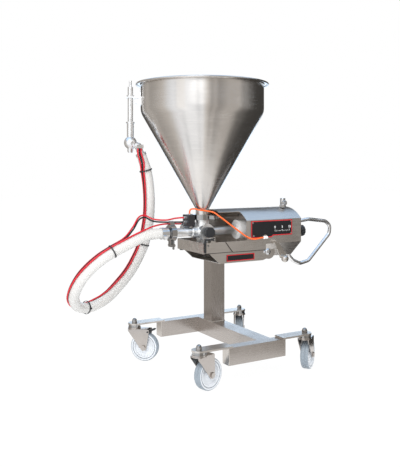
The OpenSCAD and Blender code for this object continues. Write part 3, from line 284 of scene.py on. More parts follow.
# Mesh helpers
def new_piece(name, mesh, materials, body, smooth=True):
    piece = bpy.data.objects.new(name, mesh)
    bpy.context.scene.collection.objects.link(piece)
    for material in materials if isinstance(materials, list) else [materials]:
        mesh.materials.append(material)
    if smooth:
        mesh.polygons.foreach_set("use_smooth", [True] * len(mesh.polygons))
        mesh.set_sharp_from_angle(angle=math.radians(35))
    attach(piece, body)
    return piece


def mesh_from(bm, name):
    bmesh.ops.recalc_face_normals(bm, faces=bm.faces)
    mesh = bpy.data.meshes.new(name)
    bm.to_mesh(mesh)
    bm.free()
    return mesh


def smooth_route(points, step=0.004):
    """A smooth line through the points, as close steps, by the centripetal Catmull-Rom rule."""
    p = [2 * points[0] - points[1]] + list(points) + [2 * points[-1] - points[-2]]
    line = [points[0].copy()]
    for i in range(1, len(p) - 2):
        knots = [0.0]
        for a, b in zip(p[i - 1:i + 2], p[i:i + 3]):
            knots.append(knots[-1] + max((b - a).length, 1e-6) ** 0.5)
        count = max(2, round((p[i + 1] - p[i]).length / step))
        for k in range(1, count + 1):
            t = knots[1] + (knots[2] - knots[1]) * k / count
            line.append(blend_four(p[i - 1:i + 3], knots, t))
    return line


def blend_four(q, knots, t):
    """The Barry-Goldman pyramid for one place on a Catmull-Rom span."""
    level = list(q)
    for width in (1, 2, 3):
        spans = [(knots[k], knots[k + width]) for k in range(4 - width)] if width < 3 else [knots[1:3]]
        level = [a.lerp(b, (t - low) / (high - low)) for a, b, (low, high) in zip(level, level[1:], spans)]
    return level[0]


def frames_along(line):
    """Tangent and two cross directions at each place, carried along without twist."""
    tangents = []
    for i in range(len(line)):
        a = line[max(i - 1, 0)]
        b = line[min(i + 1, len(line) - 1)]
        tangents.append((b - a).normalized())
    up = Vector((0.1, 1, 0.05))
    result = []
    for t in tangents:
        up = (up - t * up.dot(t)).normalized()
        result.append((t, up, t.cross(up)))
    return result


def tube(name, line, radius, material, body, sides):
    """A round tube along a line, closed at both ends, with a UV map of length and turn."""
    bm = bmesh.new()
    uv = bm.loops.layers.uv.new("along")
    rows = []
    for place, (t, u, w) in zip(line, frames_along(line)):
        rows.append([bm.verts.new(place + radius * (math.cos(a) * u + math.sin(a) * w))
                     for a in (2 * math.pi * k / sides for k in range(sides))])
    around = 2 * math.pi * radius
    run = 0.0
    for i in range(len(line) - 1):
        nxt = run + (line[i + 1] - line[i]).length
        for k in range(sides):
            m = (k + 1) % sides
            face = bm.faces.new((rows[i][k], rows[i + 1][k], rows[i + 1][m], rows[i][m]))
            for loop, (s, turn) in zip(face.loops, ((run, k), (nxt, k), (nxt, k + 1), (run, k + 1))):
                loop[uv].uv = (s / around, turn / sides)
        run = nxt
    for row in (rows[0], rows[-1]):
        bm.faces.new(row)
    return new_piece(name, mesh_from(bm, name), material, body)


def cross_directions(axis):
    """Two directions square to an axis and to each other."""
    helper = Vector((0, 0, 1)) if abs(axis.z) < 0.9 else Vector((1, 0, 0))
    u = axis.cross(helper).normalized()
    return u, axis.cross(u)


def lathe(name, profile, origin, axis, materials, body, paint=None, sides=64):
    """A closed profile of (radius, height) in millimetres, turned about an axis.

    paint gives each of the profile's edges the number of its material."""
    bm = bmesh.new()
    axis = axis.normalized()
    u, w = cross_directions(axis)
    rows = []
    for k in range(sides):
        a = 2 * math.pi * k / sides
        out = math.cos(a) * u + math.sin(a) * w
        rows.append([bm.verts.new(origin + (r * out + h * axis) * MM) for r, h in profile])
    count = len(profile)
    for k in range(sides):
        here, there = rows[k], rows[(k + 1) % sides]
        for i in range(count):
            m = (i + 1) % count
            if profile[i][0] == 0 and profile[m][0] == 0:
                continue
            face = bm.faces.new((here[i], here[m], there[m], there[i]))
            face.material_index = paint[i] if paint else 0
    bmesh.ops.remove_doubles(bm, verts=bm.verts, dist=1e-6)
    return new_piece(name, mesh_from(bm, name), materials, body)


def prism(name, outline, low, high, material, body, bevel):
    """An outline in X and Z above the pan's underside, spread in Y and with rounded edges."""
    bm = bmesh.new()
    front = [bm.verts.new(over_pan(x, low, z)) for x, z in outline]
    back = [bm.verts.new(over_pan(x, high, z)) for x, z in outline]
    bm.faces.new(front)
    bm.faces.new(back[::-1])
    for i in range(len(outline)):
        m = (i + 1) % len(outline)
        bm.faces.new((front[i], back[i], back[m], front[m]))
    piece = new_piece(name, mesh_from(bm, name), material, body, smooth=False)
    round_edges(piece, bevel)
    return piece


def round_edges(piece, width, segments=3):
    soften = piece.modifiers.new("soften", "BEVEL")
    soften.width = width * MM
    soften.segments = segments
    soften.limit_method = "ANGLE"
    soften.angle_limit = math.radians(35)
    soften.harden_normals = True


def inset(outline, d):
    """The outline moved inwards by d, corner by corner. The outline runs anticlockwise."""
    moved = []
    count = len(outline)
    for i in range(count):
        p, q, r = (Vector(outline[(i + k) % count]) for k in (-1, 0, 1))
        a, b = (q - p).normalized(), (r - q).normalized()
        na, nb = Vector((-a.y, a.x)), Vector((-b.y, b.x))
        moved.append(tuple(q + (na + nb) * d / (1 + na.dot(nb))))
    return moved


def frame_line(name, outline, gap, width, y, material, body):
    """A flat raised line that runs round inside an outline in X and Z above the pan's underside."""
    bm = bmesh.new()
    loops = []
    slope, rise = 0.2, 0.35
    for d, depth in ((gap, 0), (gap + slope, rise), (gap + width - slope, rise), (gap + width, 0)):
        loops.append([bm.verts.new(over_pan(x, y - depth, z)) for x, z in inset(outline, d)])
    count = len(outline)
    for here, there in zip(loops, loops[1:]):
        for i in range(count):
            m = (i + 1) % count
            bm.faces.new((here[i], here[m], there[m], there[i]))
    return new_piece(name, mesh_from(bm, name), material, body, smooth=False)


# Hose and air tubes, on the same routes as their solids
HOSE_R = 0.019
AIR_R = 0.003
CYLINDER_Y = -80
HOPPER_X = -101.5
NOZZLE_REACH = 274
NOZZLE_BEARING = math.radians(150)
NOZZLE = over_pan(HOPPER_X + NOZZLE_REACH * math.cos(NOZZLE_BEARING),
                  CYLINDER_Y + NOZZLE_REACH * math.sin(NOZZLE_BEARING), 410)
PORT_TILT = math.radians(160)
PORT_TURN = math.radians(-7)
PORT_DIR = Vector((math.sin(PORT_TILT) * math.cos(PORT_TURN), math.sin(PORT_TILT) * math.sin(PORT_TURN),
                   math.cos(PORT_TILT)))
PORT_CORNER = NOZZLE + Vector((27, -13, -14)) * MM
PORT_LENGTH = 0.038
SLEEVE_LENGTH = 0.026
HOSE_END = PORT_CORNER + PORT_LENGTH * PORT_DIR
HOSE_ROUTE = [over_pan(*p) for p in [
    (-257.5, -80, 73), (-290, -80, 73), (-332, -84, 70), (-378, -89, 56), (-425, -89, 37),
    (-469, -86, 17), (-508, -80, -6), (-541, -70, -34), (-567, -52, -69), (-580, -21, -112),
    (-576, 17, -154), (-548, 53, -190), (-506, 75, -204), (-458, 87, -197), (-410, 95, -175),
    (-366, 94, -135), (-326, 89, -88), (-296, 81, -35), (-275, 71, 19), (-264, 63, 74),
    (-260, 53, 132), (-261, 47, 191), (-268, 42, 252), (-280, 39, 306)]]
HOSE_ROUTE += [HOSE_END + SLEEVE_LENGTH * PORT_DIR, HOSE_END]

# The tubes beside the hose, as (place on the hose's route, bearing round it in degrees)
LAY_GAP = 0.0012
LAY_R = HOSE_R + AIR_R + LAY_GAP
LAY_STEP = 17
LAY = [(5, 90), (6, 92), (7, 92), (8, 82), (9, 64), (10, 40), (11, 12), (12, -18), (13, -48), (14, -74),
       (15, -90), (16, -94), (17, -92), (18, -90), (19, -90), (20, -90), (21, -92), (22, -98), (23, -112)]
LOWER_LAY = [(2, 90), (3, 102), (4, 107)]
BLOCK_X = -172
UPPER_LEAD = [over_pan(*p) for p in [
    (BLOCK_X - 12, -80, 128), (BLOCK_X - 24, -80, 128), (-215, -72, 126), (-245, -60, 120),
    (-289, -36, 124), (-316, -19, 138), (-338, -22, 133), (-378, -51, 98), (-420, -71, 64)]]
MIDDLE_LEAD = [over_pan(*p) for p in [
    (BLOCK_X - 12, -80, 112), (BLOCK_X - 24, -80, 112), (-215, -72, 112), (-245, -60, 112),
    (-289, -37, 116), (-316, -21, 130), (-338, -26, 125), (-378, -57, 91), (-420, -80, 62)]]
LOWER_LEAD = [over_pan(*p) for p in [
    (BLOCK_X - 12, -62, 104), (BLOCK_X - 24, -62, 104), (-215, -60, 105), (-260, -60, 105),
    (-300, -67, 100)]]
NOZZLE_BLOCK_Z = 388
TUBE_ENDS = [(-311, 19), (-318, 19), (-325, 19)]
TAIL_PLACE = 24
TAIL_BEARING = -140
TAIL_LIFT = 0.0026
TAIL_DROP = 18
ORANGE_ROUTE = [over_pan(*p) for p in [
    (104, -190, 48), (94, -190, 48), (75, -190, 45), (55, -190, 45), (28, -187, 56), (5, -177, 74),
    (-25, -160, 100), (-57, -142, 128), (-80, -125, 147), (-101, -112, 152), (-125, -101, 156),
    (-143, -91, 160), (-154, -83, 158), (-157, -80, 150), (-157, -80, 142)]]

# The ties' places on the hose's route and the bearings of the tubes that they hold there
TIES = [(5, 90), (12, -18), (18, -90), (23, -112)]
TIE_SHIFT = 0.0036


def tangent(p, i):
    """The direction of a route at one of its points."""
    if i == 0:
        return (p[1] - p[0]).normalized()
    if i == len(p) - 1:
        return (p[i] - p[i - 1]).normalized()
    return ((p[i + 1] - p[i]).normalized() + (p[i] - p[i - 1]).normalized()).normalized()


def beside(i, bearing, d=LAY_R):
    """A point beside the hose's route, at a bearing round it and a distance from its middle."""
    t = tangent(HOSE_ROUTE, i)
    e = (Vector((0, 1, 0)) - t * t.y).normalized()
    a = math.radians(bearing)
    return HOSE_ROUTE[i] + d * (math.cos(a) * e + math.sin(a) * e.cross(t))


def laid(k):
    """The route of tube -1, 0 or 1 where it lies along the hose."""
    return [beside(i, a + k * LAY_STEP) for i, a in LAY]


def tail(k):
    """The end of the same tube's route, from the hose into the nozzle's air block."""
    x, y = TUBE_ENDS[k + 1]
    return [beside(TAIL_PLACE, TAIL_BEARING + k * LAY_STEP, LAY_R + TAIL_LIFT),
            over_pan(x, y, NOZZLE_BLOCK_Z - TAIL_DROP), over_pan(x, y, NOZZLE_BLOCK_Z)]


def free_cord(name, route, radius, material, node, sides=12):
    """A hanging hose or air tube with both ends on the machine, in place of its solid."""
    line = smooth_route(route)
    piece = tube(name, line, radius, material, "frame", sides)
    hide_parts(node)


free_cord("product_hose", HOSE_ROUTE, HOSE_R, hose_white, "hose", sides=40)
free_cord("red_tube_upper", UPPER_LEAD + laid(-1) + tail(-1), AIR_R, tube_red, "red_air_tubes")
free_cord("red_tube_lower", LOWER_LEAD + [beside(i, a) for i, a in LOWER_LAY] + laid(1) + tail(1), AIR_R,
          tube_red, "red_air_tubes")
free_cord("black_tube", MIDDLE_LEAD + laid(0) + tail(0), AIR_R, tube_black, "black_air_tube")
free_cord("orange_tube", ORANGE_ROUTE, AIR_R, tube_orange, "orange_air_tube")

# Finishes of the CAD parts
FINISH = {
    stand_x: ["front_leg", "rear_leg"],
    stand_y: ["cross_beam"],
    stand_z: ["column"],
    steel_x: ["castor_plates", "cradle", "base_pan", "rear_shroud", "housing_cover"],
    steel_z: ["bulkheads"],
    steel_spun: ["hopper"],
    bright_steel: ["cover_screws", "piston_rod", "hose_fitting", "stroke_spindle"],
    mirror_steel: ["castor_stems", "castor_nuts", "hopper_clamp", "hopper_wing_nut", "outlet_clamp",
                   "outlet_wing_nut"],
    zinc: ["fork_front_left", "fork_front_right", "fork_rear_left", "fork_rear_right"],
    chrome: ["nozzle_body", "nozzle_spout", "nozzle_button", "nozzle_hook"],
    pale_steel: ["product_cylinder", "valve_body", "outlet_tube"],
    soft_steel: ["release_lever"],
    aluminium: ["air_cylinder", "cylinder_caps", "air_piston", "valve_actuator"],
    white_plastic: ["product_piston", "cylinder_collar", "valve_plug", "thrust_pad", "clamp_gaskets"],
    black_plastic: ["brake_pedal", "valve_knob", "stroke_knob", "pan_latch"],
    black_rubber: ["pan_feet", "piston_seals"],
    plate_black: ["label_plates"],
}
for material, names in FINISH.items():
    for name in names:
        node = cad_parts[name]
        node.data.materials.clear()
        node.data.materials.append(material)

# Rounded sheet and tube edges in millimetres, which catch the light
for name, width in {"front_leg": 1.6, "rear_leg": 1.6, "cross_beam": 1.6, "column": 2.0, "cradle": 1.0,
                    "base_pan": 1.0, "rear_shroud": 0.8, "housing_cover": 1.0, "castor_plates": 1.0,
                    "bulkheads": 0.8, "label_plates": 0.4, "valve_knob": 1.6, "stroke_knob": 1.2,
                    "pan_latch": 0.8, "brake_pedal": 1.0, "hopper_clamp": 0.8, "outlet_clamp": 0.8,
                    "hopper_wing_nut": 0.6, "outlet_wing_nut": 0.6, "fork_front_left": 0.9,
                    "fork_front_right": 0.9, "fork_rear_left": 0.9, "fork_rear_right": 0.9,
                    "valve_actuator": 1.5, "release_lever": 1.2, "nozzle_hook": 0.8}.items():
    round_edges(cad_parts[name], width, segments=2)


# Castor wheels: hub, dished web, a grey line in the rim's recessed groove, which is painted shade, and the
# tread.
# A wheel's side is given as (radius, distance from its middle), and its paint as 0 nylon, 1 tread, 2 grey,
# which in the rim's groove is painted shade.
# A castor is given by its king pin and by the direction of its trail in degrees.
CASTORS = {"front_left": (-276, -355, 14), "front_right": (170, -355, 35),
           "rear_left": (-304, 95, -45), "rear_right": (184, 95, 60)}
TRAIL = 43
WHEEL_R = 54
WHEEL_SIDE = [(6.1, 17.4), (10.6, 17.4), (11.6, 16.6), (12.0, 14.8), (13.2, 14.6), (13.9, 13.6),
              (14.2, 8.6), (15.6, 7.2), (24.0, 6.5), (33.5, 6.4), (36.0, 7.6), (37.0, 11.6), (38.0, 12.9),
              (40.0, 13.4), (42.6, 13.5), (43.2, 12.3), (44.6, 12.3), (45.2, 13.6), (47.6, 14.3),
              (50.6, 14.4), (52.4, 13.4), (53.5, 11.4), (54.0, 8.4), (54.0, 2.2), (53.6, 1.6)]
# The three grey edges in the rim are painted shade in its recessed groove
WHEEL_PAINT = [2, 2, 2, 2, 0, 0, 0, 0, 0, 0, 0, 0, 0, 0, 2, 2, 2, 0, 0, 1, 1, 1, 1, 1, 1]
for corner, (x, y, heading) in CASTORS.items():
    a = math.radians(heading)
    hub = at(x + TRAIL * math.cos(a), y + TRAIL * math.sin(a), WHEEL_R)
    axle = Vector((-math.sin(a), math.cos(a), 0))
    mirrored = [(r, -h) for r, h in reversed(WHEEL_SIDE)]
    wheel = lathe(f"wheel_dressed_{corner}", WHEEL_SIDE + mirrored, hub, axle, [nylon, tread, hub_grey_and_groove_shade],
                  f"wheel_{corner}", WHEEL_PAINT + WHEEL_PAINT[-2::-1] + [2], sides=96)
    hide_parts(f"wheel_{corner}")

# Handle: a smooth bent bar and its two collars
HANDLE_X = 296
HANDLE_TOP = 81
HANDLE_BOTTOM = 3
HANDLE_PATH = [(HANDLE_X, HANDLE_TOP), (308, HANDLE_TOP), (357, 92), (416, 99), (508, 87), (535, 69),
               (530, 32), (416, -75), (370, -84), (335, -69), (310, -45), (313, HANDLE_BOTTOM),
               (HANDLE_X, HANDLE_BOTTOM)]
HANDLE_BEND = 26
HANDLE_LAST_BEND = 14
HANDLE_R = 0.0075
HANDLE_COLLAR = [(7.4, 0), (13.2, 0), (13.5, 0.4), (13.5, 3.0), (12.9, 3.6), (8.6, 3.8), (7.4, 3.8)]


def bent_line(points, bend, last_bend):
    """The line through the points with its corners rounded, the last one by its own radius."""
    line = [points[0]]
    for i in range(1, len(points) - 1):
        r = (last_bend if i == len(points) - 2 else bend) * MM
        a, b = (points[i] - points[i - 1]).normalized(), (points[i + 1] - points[i]).normalized()
        angle = a.angle(b)
        inwards = (b - a * a.dot(b)).normalized()
        start = points[i] - a * r * math.tan(angle / 2)
        steps = max(3, round(angle / math.radians(5)))
        for k in range(steps + 1):
            t = angle * k / steps
            line.append(start + r * (inwards * (1 - math.cos(t)) + a * math.sin(t)))
    return line + [points[-1]]


handle_line = bent_line([over_pan(x, CYLINDER_Y, z) for x, z in HANDLE_PATH], HANDLE_BEND, HANDLE_LAST_BEND)
handle_bar = tube("handle_bar", handle_line, HANDLE_R, chrome, "frame", sides=32)
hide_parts("handle")
for name, z in (("handle_collar_top", HANDLE_TOP), ("handle_collar_bottom", HANDLE_BOTTOM)):
    collar = lathe(name, HANDLE_COLLAR, over_pan(HANDLE_X, CYLINDER_Y, z), Vector((1, 0, 0)), bright_steel,
                   "frame")
    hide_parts("handle")

# Cable ties: a strap round the hose and tubes, and its head
STRAP = [(22.9, -2.4), (24.2, -2.4), (24.5, -1.9), (24.5, 1.9), (24.2, 2.4), (22.9, 2.4)]
HEAD_OUT = 0.0268
HEAD_SIZE = Vector((0.0066, 0.0052, 0.0062))
HEAD_TAPER = 0.25
for number, (i, bearing) in enumerate(TIES):
    t = tangent(HOSE_ROUTE, i)
    middle = beside(i, bearing, TIE_SHIFT)
    strap = lathe(f"tie_strap_{number}", STRAP, middle, t, black_plastic, "frame", sides=56)
    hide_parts("cable_ties")
    turn = math.atan2(t.y, t.x)
    out = Vector((math.sin(turn), -math.cos(turn), 0))
    side = out.cross(t).normalized()
    bm = bmesh.new()
    bmesh.ops.create_cube(bm, size=1.0)
    for v in bm.verts:
        x, y, z = v.co
        v.co = middle + (out * (HEAD_OUT + y * HEAD_SIZE.y) + side * x * HEAD_SIZE.x * (1 - HEAD_TAPER * y)
                         + t * z * HEAD_SIZE.z)
    head = new_piece(f"tie_head_{number}", mesh_from(bm, "tie_head"), black_plastic, "frame",
                     smooth=False)
    round_edges(head, 0.7)
    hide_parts("cable_ties")

# Control plate and lower plate: a red line round the edge of each
PLATE = [(54, 54), (62, 46), (150, 46), (158, 52), (250, 52), (250, 112), (54, 112)]
LOWER_PLATE = [(-56, -34), (69, -34), (69, -9), (-56, -9)]
PLATE_Y = -181.5
frame_line("plate_line", PLATE, 0.6, 3.0, PLATE_Y, plate_red, "frame")
frame_line("lower_plate_line", LOWER_PLATE, 0.5, 2.6, PLATE_Y, plate_red, "frame")

# Painted shade: thin near-black lines in the seams where the pan sits on the cradle, and along the front
# saddle sheet's slanted edge and foot
SEAM_R = 0.0011
PAN_FRONT_Y = -180.2
SADDLE_FRONT_Y = -181.5
# Each line is a thin dark tube that paints the shade in a seam
for name, y, (x, z), (end_x, end_z) in (("pan_seam_shade", PAN_FRONT_Y, (-150, 0.4), (-29, 0.4)),
                                        ("saddle_edge_shade", SADDLE_FRONT_Y, (-60.6, 39), (-28.6, -0.6)),
                                        ("saddle_foot_shade", SADDLE_FRONT_Y, (-28, -0.6), (120, -0.6))):
    start, end = over_pan(x, y, z), over_pan(end_x, y, end_z)
    tube(name, [start, start.lerp(end, 0.5), end], SEAM_R, seam_painted_shade, "frame", sides=8)

# A plain scale on the control plate, with the numbers 0, 5 and 10
SCALE_LEFT = 166
SCALE_STEP = 7
SCALE_MARKS = 11
MARK_FOOT = 68
MARK_HALF = 0.7
NUMBER_Z = 80
SCALE_Y = PLATE_Y - 0.25
marks = bmesh.new()
for k in range(SCALE_MARKS):
    x = SCALE_LEFT + SCALE_STEP * k
    top = MARK_FOOT + (7 if k % 5 == 0 else 4)
    corners = [(x - MARK_HALF, MARK_FOOT), (x + MARK_HALF, MARK_FOOT), (x + MARK_HALF, top),
               (x - MARK_HALF, top)]
    marks.faces.new([marks.verts.new(over_pan(q, SCALE_Y, z)) for q, z in corners])
new_piece("plate_scale", mesh_from(marks, "plate_scale"), plate_white, "frame", smooth=False)
for number in (0, 5, 10):
    text = bpy.data.curves.new("scale_number", "FONT")
    text.body = str(number)
    text.size = 0.014
    text.align_x = "CENTER"
    text.extrude = 0.00012
    text.materials.append(plate_white)
    digit = bpy.data.objects.new(f"scale_number_{number}", text)
    digit.location = over_pan(SCALE_LEFT + SCALE_STEP * number, SCALE_Y, NUMBER_Z)
    digit.rotation_euler = (math.radians(90), 0, 0)
    bpy.context.scene.collection.objects.link(digit)
    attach(digit, "frame")

# Air fittings: a white elbow on the front, the inlet on the roof and the block by the valve
ELBOW_X, ELBOW_Y, ELBOW_Z = 121, -190, 48
ELBOW = [over_pan(x, y, ELBOW_Z) for x, y in [(ELBOW_X, -180), (ELBOW_X, -186), (ELBOW_X, ELBOW_Y),
                                              (117, ELBOW_Y), (104.5, ELBOW_Y)]]
ELBOW_R = 0.0052
ELBOW_COLLAR = [(3.1, 0), (5.6, 0), (6.1, 0.5), (6.1, 4.4), (5.7, 5), (4.7, 5.2), (4.5, 6.6), (3.1, 6.6)]
BLOCK_TOP = 138
BLOCK = [(BLOCK_X, 93.8), (-141.6, 93.8), (-141.6, BLOCK_TOP), (BLOCK_X, BLOCK_TOP)]
PUSH_IN = [(3.1, 0), (6.2, 0), (6.2, 1.5), (5.0, 2), (5.0, 8), (5.6, 8.4), (5.6, 10.6), (4.8, 11),
           (4.6, 12), (3.1, 12)]
PUSH_IN_TOP = [(3.1, 0), (6, 0), (6, 2.6), (5.2, 3.6), (3.1, 4)]
INLET = over_pan(258, -110, 155.2)
INLET_HEX = [(2.5, 0), (12.4, 0), (13, 0.6), (13, 8.2), (12.2, 9), (2.5, 9)]
INLET_POST = [(0, 9), (10.6, 9), (11, 9.6), (11, 35.6), (10.2, 37), (0, 37)]
INLET_PORT = [(5.7, 3), (6.4, 17), (9.2, 17), (10, 16.2), (10, 0), (0, 0), (0, 3)]
INLET_PORT_UP = Vector((0, 0, 0.018))


def fitting(name, profile, place, way, sides, material=bright_steel):
    """A turned part of an air fitting."""
    piece = lathe(name, profile, place, Vector(way), material, "frame", sides=sides)
    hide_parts("air_fittings")


elbow = tube("elbow_body", smooth_route(ELBOW, 0.001), ELBOW_R, white_plastic, "frame", 28)
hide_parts("air_fittings")
fitting("elbow_collar", ELBOW_COLLAR, over_pan(111, ELBOW_Y, ELBOW_Z), (-1, 0, 0), 40, white_plastic)
fitting("elbow_base", ELBOW_COLLAR, over_pan(ELBOW_X, -186, ELBOW_Z), (0, 1, 0), 40, white_plastic)
block = prism("valve_block", BLOCK, -95, -53, dark_block, "frame", bevel=1.2)
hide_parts("air_fittings")
for number, (y, z) in enumerate(((CYLINDER_Y, 128), (CYLINDER_Y, 112), (-62, 104))):
    fitting(f"push_in_{number}", PUSH_IN, over_pan(BLOCK_X, y, z), (-1, 0, 0), 40)
fitting("push_in_top", PUSH_IN_TOP, over_pan(-157, CYLINDER_Y, BLOCK_TOP), (0, 0, 1), 40)
fitting("inlet_hex", INLET_HEX, INLET, (0, 0, 1), 6)
fitting("inlet_post", INLET_POST, INLET, (0, 0, 1), 48)
fitting("inlet_port", INLET_PORT, INLET + INLET_PORT_UP, (0, -1, 0), 48)

# Weld beads where the column meets the beam and the cradle, with the small ripples of the weld
BEAD_R = 0.0022
RIPPLE = 0.0012


def weld(name, start, end):
    bead = tube(name, smooth_route([start, end], 0.002), BEAD_R, soft_steel, "frame", sides=8)
    ripples = bpy.data.textures.new(name, "CLOUDS")
    ripples.noise_scale = 0.003
    swell = bead.modifiers.new("ripples", "DISPLACE")
    swell.texture = ripples
    swell.strength = RIPPLE
    swell.texture_coords = "GLOBAL"


for name, z in (("weld_column_foot", BEAM_TOP + 1), ("weld_column_head", CRADLE_Z - 1)):
    for side, ends in (("front", ((-30, -30.5), (30, -30.5))), ("left", ((-30.5, 30), (-30.5, -30))),
                       ("right", ((30.5, -30), (30.5, 30))), ("back", ((30, 30.5), (-30, 30.5)))):
        weld(f"{name}_{side}", at(*ends[0], z), at(*ends[1], z))


# Studio: white floor and surroundings, soft lamps, and sheets that only reflections see
def rays_that_see_the_background(tree):
    """1 for camera, glossy and transmission rays, 0 for the rest."""
    path = add(tree, "ShaderNodeLightPath")
    total = path.outputs["Is Camera Ray"]
    for name in ("Is Glossy Ray", "Is Transmission Ray"):
        node = add(tree, "ShaderNodeMath", operation="MAXIMUM")
        tree.links.new(total, node.inputs[0])
        tree.links.new(path.outputs[name], node.inputs[1])
        total = node.outputs["Value"]
    return total


world = bpy.data.worlds.new("studio")
bpy.context.scene.world = world
world.use_nodes = True
tree = world.node_tree
background = tree.nodes["Background"]
seen = rays_that_see_the_background(tree)
tree.links.new(spread(tree, seen, 0.68, 1.0, 0.0, 1.0), background.inputs["Strength"])
background.inputs["Color"].default_value = (1, 1, 1, 1)


def floor_material():
    material, tree, shader = new_material("floor_white")
    shader.inputs["Base Color"].default_value = (0.92, 0.92, 0.92, 1)
    shader.inputs["Roughness"].default_value = 0.9
    glow = add(tree, "ShaderNodeEmission")
    glow.inputs["Strength"].default_value = 1.03
    mix = add(tree, "ShaderNodeMixShader")
    seen = rays_that_see_the_background(tree)
    tree.links.new(spread(tree, seen, 0.0, 0.93, 0.0, 1.0), mix.inputs["Fac"])
    tree.links.new(shader.outputs["BSDF"], mix.inputs[1])
    tree.links.new(glow.outputs["Emission"], mix.inputs[2])
    tree.links.new(mix.outputs["Shader"], tree.nodes["Material Output"].inputs["Surface"])
    return material


FLOOR_HALF = 14


def flat_sheet(name, middle, across, up, material):
    """A flat rectangle given by its middle and two half sides."""
    mesh = bpy.data.meshes.new(name)
    corners = [middle - across - up, middle + across - up, middle + across + up, middle - across + up]
    mesh.from_pydata([tuple(c) for c in corners], [], [(0, 1, 2, 3)])
    mesh.materials.append(material)
    sheet = bpy.data.objects.new(name, mesh)
    bpy.context.scene.collection.objects.link(sheet)
    return sheet


def only_in_reflections(piece):
    for kind in ("camera", "diffuse", "shadow", "transmission", "volume_scatter"):
        setattr(piece, f"visible_{kind}", False)


flat_sheet("floor", Vector((0, 0, 0)), Vector((FLOOR_HALF, 0, 0)), Vector((0, FLOOR_HALF, 0)),
           floor_material())


def glowing(name, colour):
    """A material that only gives light."""
    material = bpy.data.materials.new(name)
    material.use_nodes = True
    tree = material.node_tree
    tree.nodes.remove(tree.nodes["Principled BSDF"])
    glow = add(tree, "ShaderNodeEmission")
    glow.inputs["Color"].default_value = (*colour, 1)
    tree.links.new(glow.outputs["Emission"], tree.nodes["Material Output"].inputs["Surface"])
    return material


def card(name, bearing, distance, width, height, z, colour):
    """An upright card that faces the machine and shows only in its reflections."""
    a = math.radians(bearing)
    out = Vector((math.cos(a), math.sin(a), 0))
    sheet = flat_sheet(name, out * distance + Vector((0, 0, z)), Vector((-out.y, out.x, 0)) * width / 2,
                       Vector((0, 0, height / 2)), glowing(name, colour))
    only_in_reflections(sheet)


# Surroundings as (bearing in degrees, brightness): white towards the camera, dark to the right and behind
SURROUND = [(-180, 0.88), (-171, 1.0), (-163, 0.76), (-156, 1.0), (-134, 1.0), (-128, 0.78), (-121, 1.0),
            (-113, 0.66), (-104, 0.36), (-98, 0.50), (-91, 0.32), (-74, 0.48), (-54, 0.46), (-42, 0.16),
            (-20, 0.06), (30, 0.05), (42, 0.10), (78, 0.08), (92, 0.10), (106, 0.36), (124, 0.50),
            (134, 0.38), (150, 0.46), (166, 0.60)]
BRIGHT_TINT = (0.96, 0.99, 1.03)
DIM_TINT = (1.0, 0.95, 0.895)
SURROUND_MIDDLE = (-0.19, 0.01)
SURROUND_R = 2.4


def surround_material():
    material = bpy.data.materials.new("surround")
    material.use_nodes = True
    tree = material.node_tree
    tree.nodes.remove(tree.nodes["Principled BSDF"])
    place = add(tree, "ShaderNodeTexCoord")
    split = add(tree, "ShaderNodeSeparateXYZ")
    tree.links.new(place.outputs["Object"], split.inputs["Vector"])
    bearing = add(tree, "ShaderNodeMath", operation="ARCTAN2")
    tree.links.new(split.outputs["Y"], bearing.inputs[0])
    tree.links.new(split.outputs["X"], bearing.inputs[1])
    ramp = add(tree, "ShaderNodeValToRGB")
    stops = ramp.color_ramp.elements
    while len(stops) > 1:
        stops.remove(stops[-1])
    for number, (degrees, grey) in enumerate(SURROUND + [(180, SURROUND[0][1])]):
        place_on_ramp = (degrees + 180) / 360
        stop = stops[0] if number == 0 else stops.new(place_on_ramp)
        stop.position = place_on_ramp
        tint = BRIGHT_TINT if grey > 0.7 else DIM_TINT
        stop.color = (*(grey * part for part in tint), 1)
    tree.links.new(spread(tree, bearing.outputs["Value"], 0.0, 1.0, -math.pi, math.pi), ramp.inputs["Fac"])
    glow = add(tree, "ShaderNodeEmission")
    tree.links.new(ramp.outputs["Color"], glow.inputs["Color"])
    tree.links.new(glow.outputs["Emission"], tree.nodes["Material Output"].inputs["Surface"])
    return material


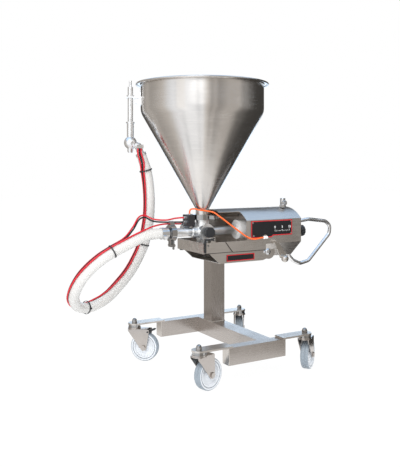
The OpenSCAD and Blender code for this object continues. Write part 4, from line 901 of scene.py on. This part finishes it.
def surround(around, profile):
    """A sheet turned about an upright axis, from the floor up its wall, that only reflections see."""
    bm = bmesh.new()
    rows = []
    sides = 96
    for k in range(sides):
        a = 2 * math.pi * k / sides
        rows.append([bm.verts.new(Vector((r * math.cos(a), r * math.sin(a), z))) for r, z in profile])
    for k in range(sides):
        here, there = rows[k], rows[(k + 1) % sides]
        for i in range(len(profile) - 1):
            bm.faces.new((here[i], here[i + 1], there[i + 1], there[i]))
    mesh = mesh_from(bm, "surround")
    mesh.materials.append(surround_material())
    sheet = bpy.data.objects.new("surround", mesh)
    sheet.location = around
    bpy.context.scene.collection.objects.link(sheet)
    only_in_reflections(sheet)


surround(Vector((*SURROUND_MIDDLE, 0)), [(0.62, 0.003), (1.0, 0.003), (SURROUND_R, 0.003), (SURROUND_R, 1.2),
                                        (SURROUND_R, 2.4)])
card("card_back_low", 60, 1.9, 1.5, 0.85, 0.44, (1.15, 1.40, 1.70))
card("card_left", 200, 2.0, 0.5, 2.2, 1.1, (1.0, 1.0, 1.0))
sky = flat_sheet("sky", Vector((*SURROUND_MIDDLE, 2.42)), Vector((SURROUND_R, 0, 0)),
                 Vector((0, SURROUND_R, 0)), glowing("sky", (0.62, 0.82, 1.10)))
only_in_reflections(sky)


LAMPS_AIM = Vector((0, 0, 0.5))


def lamp(name, place, size, power, colour=(1, 1, 1)):
    """A soft lamp that faces the machine's middle."""
    data = bpy.data.lights.new(name, "AREA")
    data.shape = "RECTANGLE"
    data.size, data.size_y = size
    data.energy = power
    data.color = colour
    light = bpy.data.objects.new(name, data)
    light.location = place
    light.rotation_euler = (LAMPS_AIM - Vector(place)).to_track_quat("-Z", "Y").to_euler()
    bpy.context.scene.collection.objects.link(light)


lamp("key", (-1.9, -2.2, 2.6), (1.6, 1.6), 55)
lamp("side", (-2.3, -1.3, 0.75), (0.9, 0.9), 11)
lamp("fill", (2.4, -1.8, 1.8), (1.4, 1.8), 22)
lamp("top", (0.2, 0.6, 3.0), (2.4, 1.6), 40, (0.85, 0.93, 1.0))

bpy.context.scene.view_settings.view_transform = "Standard"
